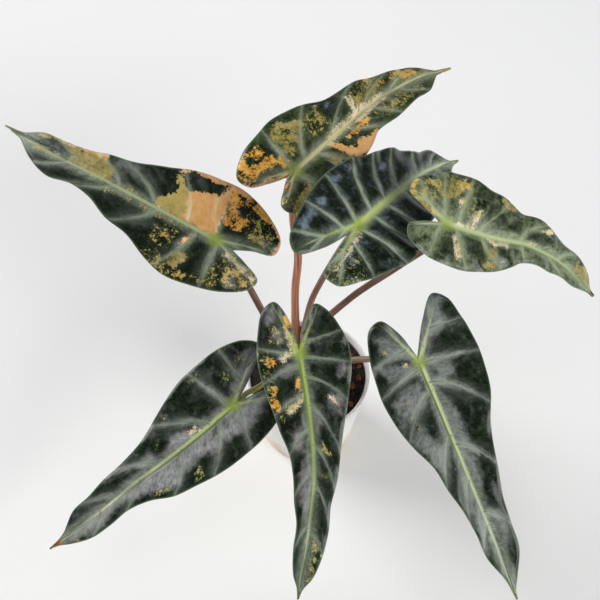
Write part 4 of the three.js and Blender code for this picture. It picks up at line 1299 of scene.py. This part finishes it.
under_face = under_material()
for number, (name, leaf) in enumerate(LEAVES.items()):
    blade = Blade(leaf)
    f = blade_fields(leaf, blade)
    columns = f["s"].shape[0] - 1
    bpy.ops.object.select_all(action="DESELECT")
    bpy.ops.mesh.primitive_grid_add(x_subdivisions=columns, y_subdivisions=ROWS, size=2)
    sheet = bpy.context.object
    mesh = sheet.data
    flat = np.zeros(len(mesh.vertices) * 3)
    mesh.vertices.foreach_get("co", flat)
    flat = flat.reshape(-1, 3)
    i = np.rint((flat[:, 0] + 1) / 2 * columns).astype(int)
    j = np.rint((flat[:, 1] + 1) / 2 * ROWS).astype(int)
    spots = blade.place(f["s"], f["t"], relief(f, 11 + number))[i, j] * MM
    mesh.vertices.foreach_set("co", spots.ravel())

    # Every leaf reads its own part of the noise, so no two are mottled alike
    own = np.full(f["s"].shape, 31.0 * number)
    f["tissue"] = np.stack([f["across_rows"], 0.42 * f["along_row"], 90 * f["side"] + own], -1)
    f["flat_place"] = np.stack([f["s"], f["t"], own], -1)
    for attribute in ATTRIBUTES:
        add_attribute(mesh, attribute, f[attribute][i, j])
    for kind in PATCHES:
        depth = np.full(f["s"].shape, -FAR)
        for outline in MARKINGS[name].get(kind, ()):
            depth = np.maximum(depth, depth_in(outline, f["s"], f["t"]))
        add_attribute(mesh, kind, np.clip(0.5 + depth / PATCH_DEPTH, 0, 1)[i, j])

    thin = smooth_step(0, RIB_FADE, blade.length - f["spine_distance"])
    ridge = RIB_RAISE * np.exp(-((f["rib_distance"] / (1.3 * f["rib_width"])) ** 2))
    ridge = ridge * f["rib_strength"] * f["rib_width"] * thin
    side_ridge = SIDE_VEIN_RAISE * np.exp(-((side_vein_distance(f) / 0.9) ** 2))
    ridge = np.maximum(ridge, side_ridge * (1 - f["row"]))
    group = sheet.vertex_groups.new(name="rib")
    for index, weight in enumerate(np.clip(ridge, 0, 1)[i, j]):
        group.add([index], float(weight), "REPLACE")
    edit(sheet)
    bpy.ops.mesh.remove_doubles(threshold=1e-6)
    bpy.ops.mesh.normals_make_consistent(inside=False)
    bpy.ops.object.mode_set(mode="OBJECT")
    if sum(p.normal.z * p.area for p in mesh.polygons) < 0:
        mesh.flip_normals()
    mesh.materials.append(upper_material(f"leaf_waxy_cuticle_{name}", leaf))
    mesh.materials.append(under_face)
    apply_modifier(
        sheet,
        "SOLIDIFY",
        thickness=BLADE_SKIN * MM,
        offset=-1,
        vertex_group="rib",
        thickness_vertex_group=SKIN_SHARE,
        material_offset=1,
        use_rim=True,
    )
    finish_piece(sheet, f"blade_{name}", "blade", f"leaf_{name}", smooth_to=80)


# Leaf stalks: fleshy, round above and widening into a sheath where they clasp the crown.
# Red-brown with fine pale streaks; the two young front ones are olive and tan.

# Each stalk's radius in mm, the bearing in degrees of its foot round the crown, the places in
# mm that it passes, and its skin
STALKS = {
    "left": (2.4, 184, [(-22, 18, 98), (-32, 19, 137), (-48, 25, 186)], "umber"),
    "back": (2.8, 105, [(-9, 26, 97), (-9, 36, 136), (-7, 45, 166), (-10, 52, 198)], "rust"),
    "centre": (2.2, 60, [(-3, 22, 98), (2, 30, 130), (9, 32, 155), (18, 30, 188)], "mauve"),
    "right": (2.4, 12, [(7, 22, 106), (29, 27, 140), (58, 23, 186), (77, 18, 222)], "umber"),
    "front_left": (2.0, -125, [(-18, -2, 89), (-35, -28, 112), (-42, -39, 125)], "olive"),
    "front": (2.3, -78, [(-6, -4, 100), (-6, -24, 150)], "rust"),
    "front_right": (2.2, -32, [(11, 2, 90), (36, -8, 116), (55, -17, 132)], "tan"),
}
STALK_RING = 9.0  # mm from the crown's middle to a stalk's foot
STALK_RISE = 4.0
STALK_NECK = 6.0
STALK_END = 2.0  # mm under the blade's face
STALK_SIDES = 24
STALK_RINGS = 90
FOOT_SWELL = (0.75, 14)  # share of the radius, and the length in mm over which it goes
NECK_SWELL = (0.12, 6)
SHEATH_GROOVE = (0.45, 22)
GROOVE_WIDTH = 0.55
STALK_COLOURS = {
    "rust": ("#7c452b", "#b07252", "#d3a184"),
    "mauve": ("#4e322a", "#805a4b", "#b6917f"),
    "umber": ("#3d2519", "#6b4733", "#a5826a"),
    "olive": ("#4c4f22", "#6f7130", "#9b9a55"),
    "tan": ("#6d5439", "#93795a", "#bfa98a"),
}


def stalk_material(name, colours):
    """Stalk skin: a thin waxy epidermis over streaks of sap-stained fibre."""
    material, node = new_material(name)
    chart = node("TexCoord", out="UV")
    up = node("SeparateXYZ", chart, out="Y")
    lengthwise = node("Mapping", Vector=chart, Scale=(16, 5, 1))
    streak = node("TexNoise", Vector=lengthwise, Scale=1.0, Detail=5.0)
    skin = node("ValToRGB", streak, stops=[*zip((0.34, 0.52, 0.72), colours)])
    near_blade = node("MapRange", up, 0.9, 1.0, 0.0, 0.6)
    skin = node("Mix", near_blade, skin, "#8a8f4a", **COLOURS)
    near_crown = node("MapRange", up, 0.38, 0.1, 0.0, 0.6)
    skin = node("Mix", near_crown, skin, "#cd9b80", **COLOURS)
    bump = node("Bump", Height=streak, Distance=0.0003, Strength=0.5)
    surface = node("BsdfPrincipled", Base_Color=skin, Roughness=0.4, IOR=1.45, Normal=bump)
    node("OutputMaterial", surface)
    return material


def rolled_tube(route, radii, grooves, sides):
    """A grid rolled round a route in mm, closed at both ends; grooves dent its inner side."""
    rings = len(route) - 1
    bpy.ops.object.select_all(action="DESELECT")
    bpy.ops.mesh.primitive_grid_add(x_subdivisions=sides, y_subdivisions=rings, size=2)
    tube = bpy.context.object
    ways = unit(np.gradient(route, axis=0))
    inward = np.array([*CROWN_AT, 0]) - route[0] * (1, 1, 0)
    first = unit(inward - np.dot(inward, ways[0]) * ways[0])
    for vertex in tube.data.vertices:
        ring = int(round((vertex.co.y + 1) / 2 * rings))
        angle = math.pi * (vertex.co.x + 1)
        way = ways[ring]
        face = unit(first - np.dot(first, way) * way)
        other = np.cross(way, face)
        turned = min(angle, 2 * math.pi - angle)
        dent = 1 - grooves[ring] * math.exp(-((turned / GROOVE_WIDTH) ** 2))
        spoke = math.cos(angle) * face + math.sin(angle) * other
        vertex.co = Vector(route[ring] + radii[ring] * dent * spoke) * MM
    edit(tube)
    bpy.ops.mesh.remove_doubles(threshold=1e-6)
    bpy.ops.mesh.select_all(action="DESELECT")
    bpy.ops.mesh.select_non_manifold()
    bpy.ops.mesh.fill_holes(sides=0)
    bpy.ops.mesh.select_all(action="SELECT")
    bpy.ops.mesh.normals_make_consistent(inside=False)
    bpy.ops.object.mode_set(mode="OBJECT")
    return tube


def evenly(route, count):
    """Points spread evenly along a route."""
    steps = np.linalg.norm(np.diff(route, axis=0), axis=1)
    reach = np.concatenate([[0], np.cumsum(steps)])
    at = np.linspace(0, reach[-1], count)
    return np.stack([np.interp(at, reach, route[:, k]) for k in range(3)], -1)


skins = {}
for key, colours in STALK_COLOURS.items():
    skins[key] = stalk_material(f"stalk_skin_{key}", colours)
for name, leaf in LEAVES.items():
    radius, bearing, points, skin = STALKS[name]
    angle = math.radians(bearing)
    out_from_crown = STALK_RING * np.array([math.cos(angle), math.sin(angle), 0])
    foot = np.array([*CROWN_AT, SOIL_LEVEL + 0.3]) + out_from_crown
    point, _, _, outward = (a[0] for a in Blade(leaf).directions(np.array([0.0])))
    neck, end = point - STALK_NECK * outward, point - STALK_END * outward
    route = through([foot, foot + (0, 0, STALK_RISE), *points, neck, end], 40)
    route = evenly(route, STALK_RINGS + 1)
    length = np.linalg.norm(np.diff(route, axis=0), axis=1).sum()
    run = np.linspace(0, 1, STALK_RINGS + 1) * length
    foot_swell = FOOT_SWELL[0] * np.exp(-run / FOOT_SWELL[1])
    neck_swell = NECK_SWELL[0] * np.exp(-(length - run) / NECK_SWELL[1])
    radii = radius * (1 + foot_swell + neck_swell)
    radii[0] *= 0.9
    grooves = SHEATH_GROOVE[0] * np.exp(-run / SHEATH_GROOVE[1])
    stalk = rolled_tube(route, radii, grooves, STALK_SIDES)
    stalk.data.materials.append(skins[skin])
    finish_piece(stalk, f"petiole_{name}", "stalk", f"stalk_{name}", smooth_to=60)


# Crown: a short corky stub ringed by old leaf scars, half hidden by the stalks that clasp it.
# Height and radius in mm, up the stub
CROWN_PROFILE = [
    (0, 6.4), (1.6, 6.0), (2.2, 6.2), (4.0, 5.6), (4.6, 5.8), (7.0, 5.0), (10.0, 4.2), (12.3, 2.4),
]
CROWN_RINGS = 30
CROWN_SIDES = 32
CROWN_WAVER = 0.2
CROWN_ASIDE = 0.01  # off the middle, towards which a rolled tube turns its inner side

cork, node = new_material("crown_corky_skin")
rings = node("Mapping", Vector=node("TexCoord", out="Object"), Scale=(0.25, 0.25, 1))
scar = node("TexNoise", Vector=rings, Scale=700.0, Detail=4.0)
hide = node("ValToRGB", scar, stops=[(0.3, "#3f221a"), (0.5, "#8a5a45"), (0.7, "#c39a80")])
bump = node("Bump", Height=scar, Distance=0.0006, Strength=0.7)
node("OutputMaterial", node("BsdfPrincipled", Base_Color=hide, Roughness=0.7, Normal=bump))

heights = np.linspace(0, CROWN_PROFILE[-1][0], CROWN_RINGS)
profile_radii = np.interp(heights, *zip(*CROWN_PROFILE))
stub_x = np.full(CROWN_RINGS, CROWN_AT[0] + CROWN_ASIDE)
stub_y = CROWN_AT[1] + CROWN_WAVER * np.sin(heights)
stub_route = np.stack([stub_x, stub_y, SOIL_LEVEL + 0.1 + heights], -1)
stub = rolled_tube(stub_route, profile_radii, np.zeros(CROWN_RINGS), CROWN_SIDES)
stub.data.materials.append(cork)
finish_piece(stub, "crown_stub", "crown", "crown", smooth_to=60)


# New leaf's sheath: a papery pink cone rolled round the next blade, leaning off the crown
# beside the back stalk.
SHEATH_POINTS = [(-14.46, 18.03, 77.9), (-14.6, 20.5, 96), (-15.5, 25, 112.6)]
SHEATH_RADII = [(0, 3.0), (0.35, 2.4), (0.7, 1.5), (0.93, 0.7), (1, 0.25)]  # share along, mm
SHEATH_RINGS = 41
SHEATH_SIDES = 20
SHEATH_FOLD = 0.3

papery, node = new_material("papery_pink_sheath")
fibre_way = node("Mapping", Vector=node("TexCoord", out="UV"), Scale=(18, 2, 1))
fibre = node("TexNoise", Vector=fibre_way, Scale=1.0, Detail=4.0)
blush = node("ValToRGB", fibre, stops=[(0.3, "#a5604b"), (0.5, "#cf947b"), (0.7, "#e6bfa6")])
bump = node("Bump", Height=fibre, Distance=0.0003, Strength=0.5)
surface = node(
    "BsdfPrincipled", Base_Color=blush, Roughness=0.55, Subsurface_Weight=0.15,
    Subsurface_Scale=0.002, Normal=bump,
)
node("OutputMaterial", surface)

sheath_route = evenly(through(SHEATH_POINTS, 30), SHEATH_RINGS)
share = np.linspace(0, 1, SHEATH_RINGS)
sheath_radii = np.interp(share, *zip(*SHEATH_RADII))
sheath = rolled_tube(sheath_route, sheath_radii, SHEATH_FOLD * (1 - share), SHEATH_SIDES)
sheath.data.materials.append(papery)
finish_piece(sheath, "new_leaf_sheath_piece", "sheath", "new_leaf_sheath", smooth_to=60)
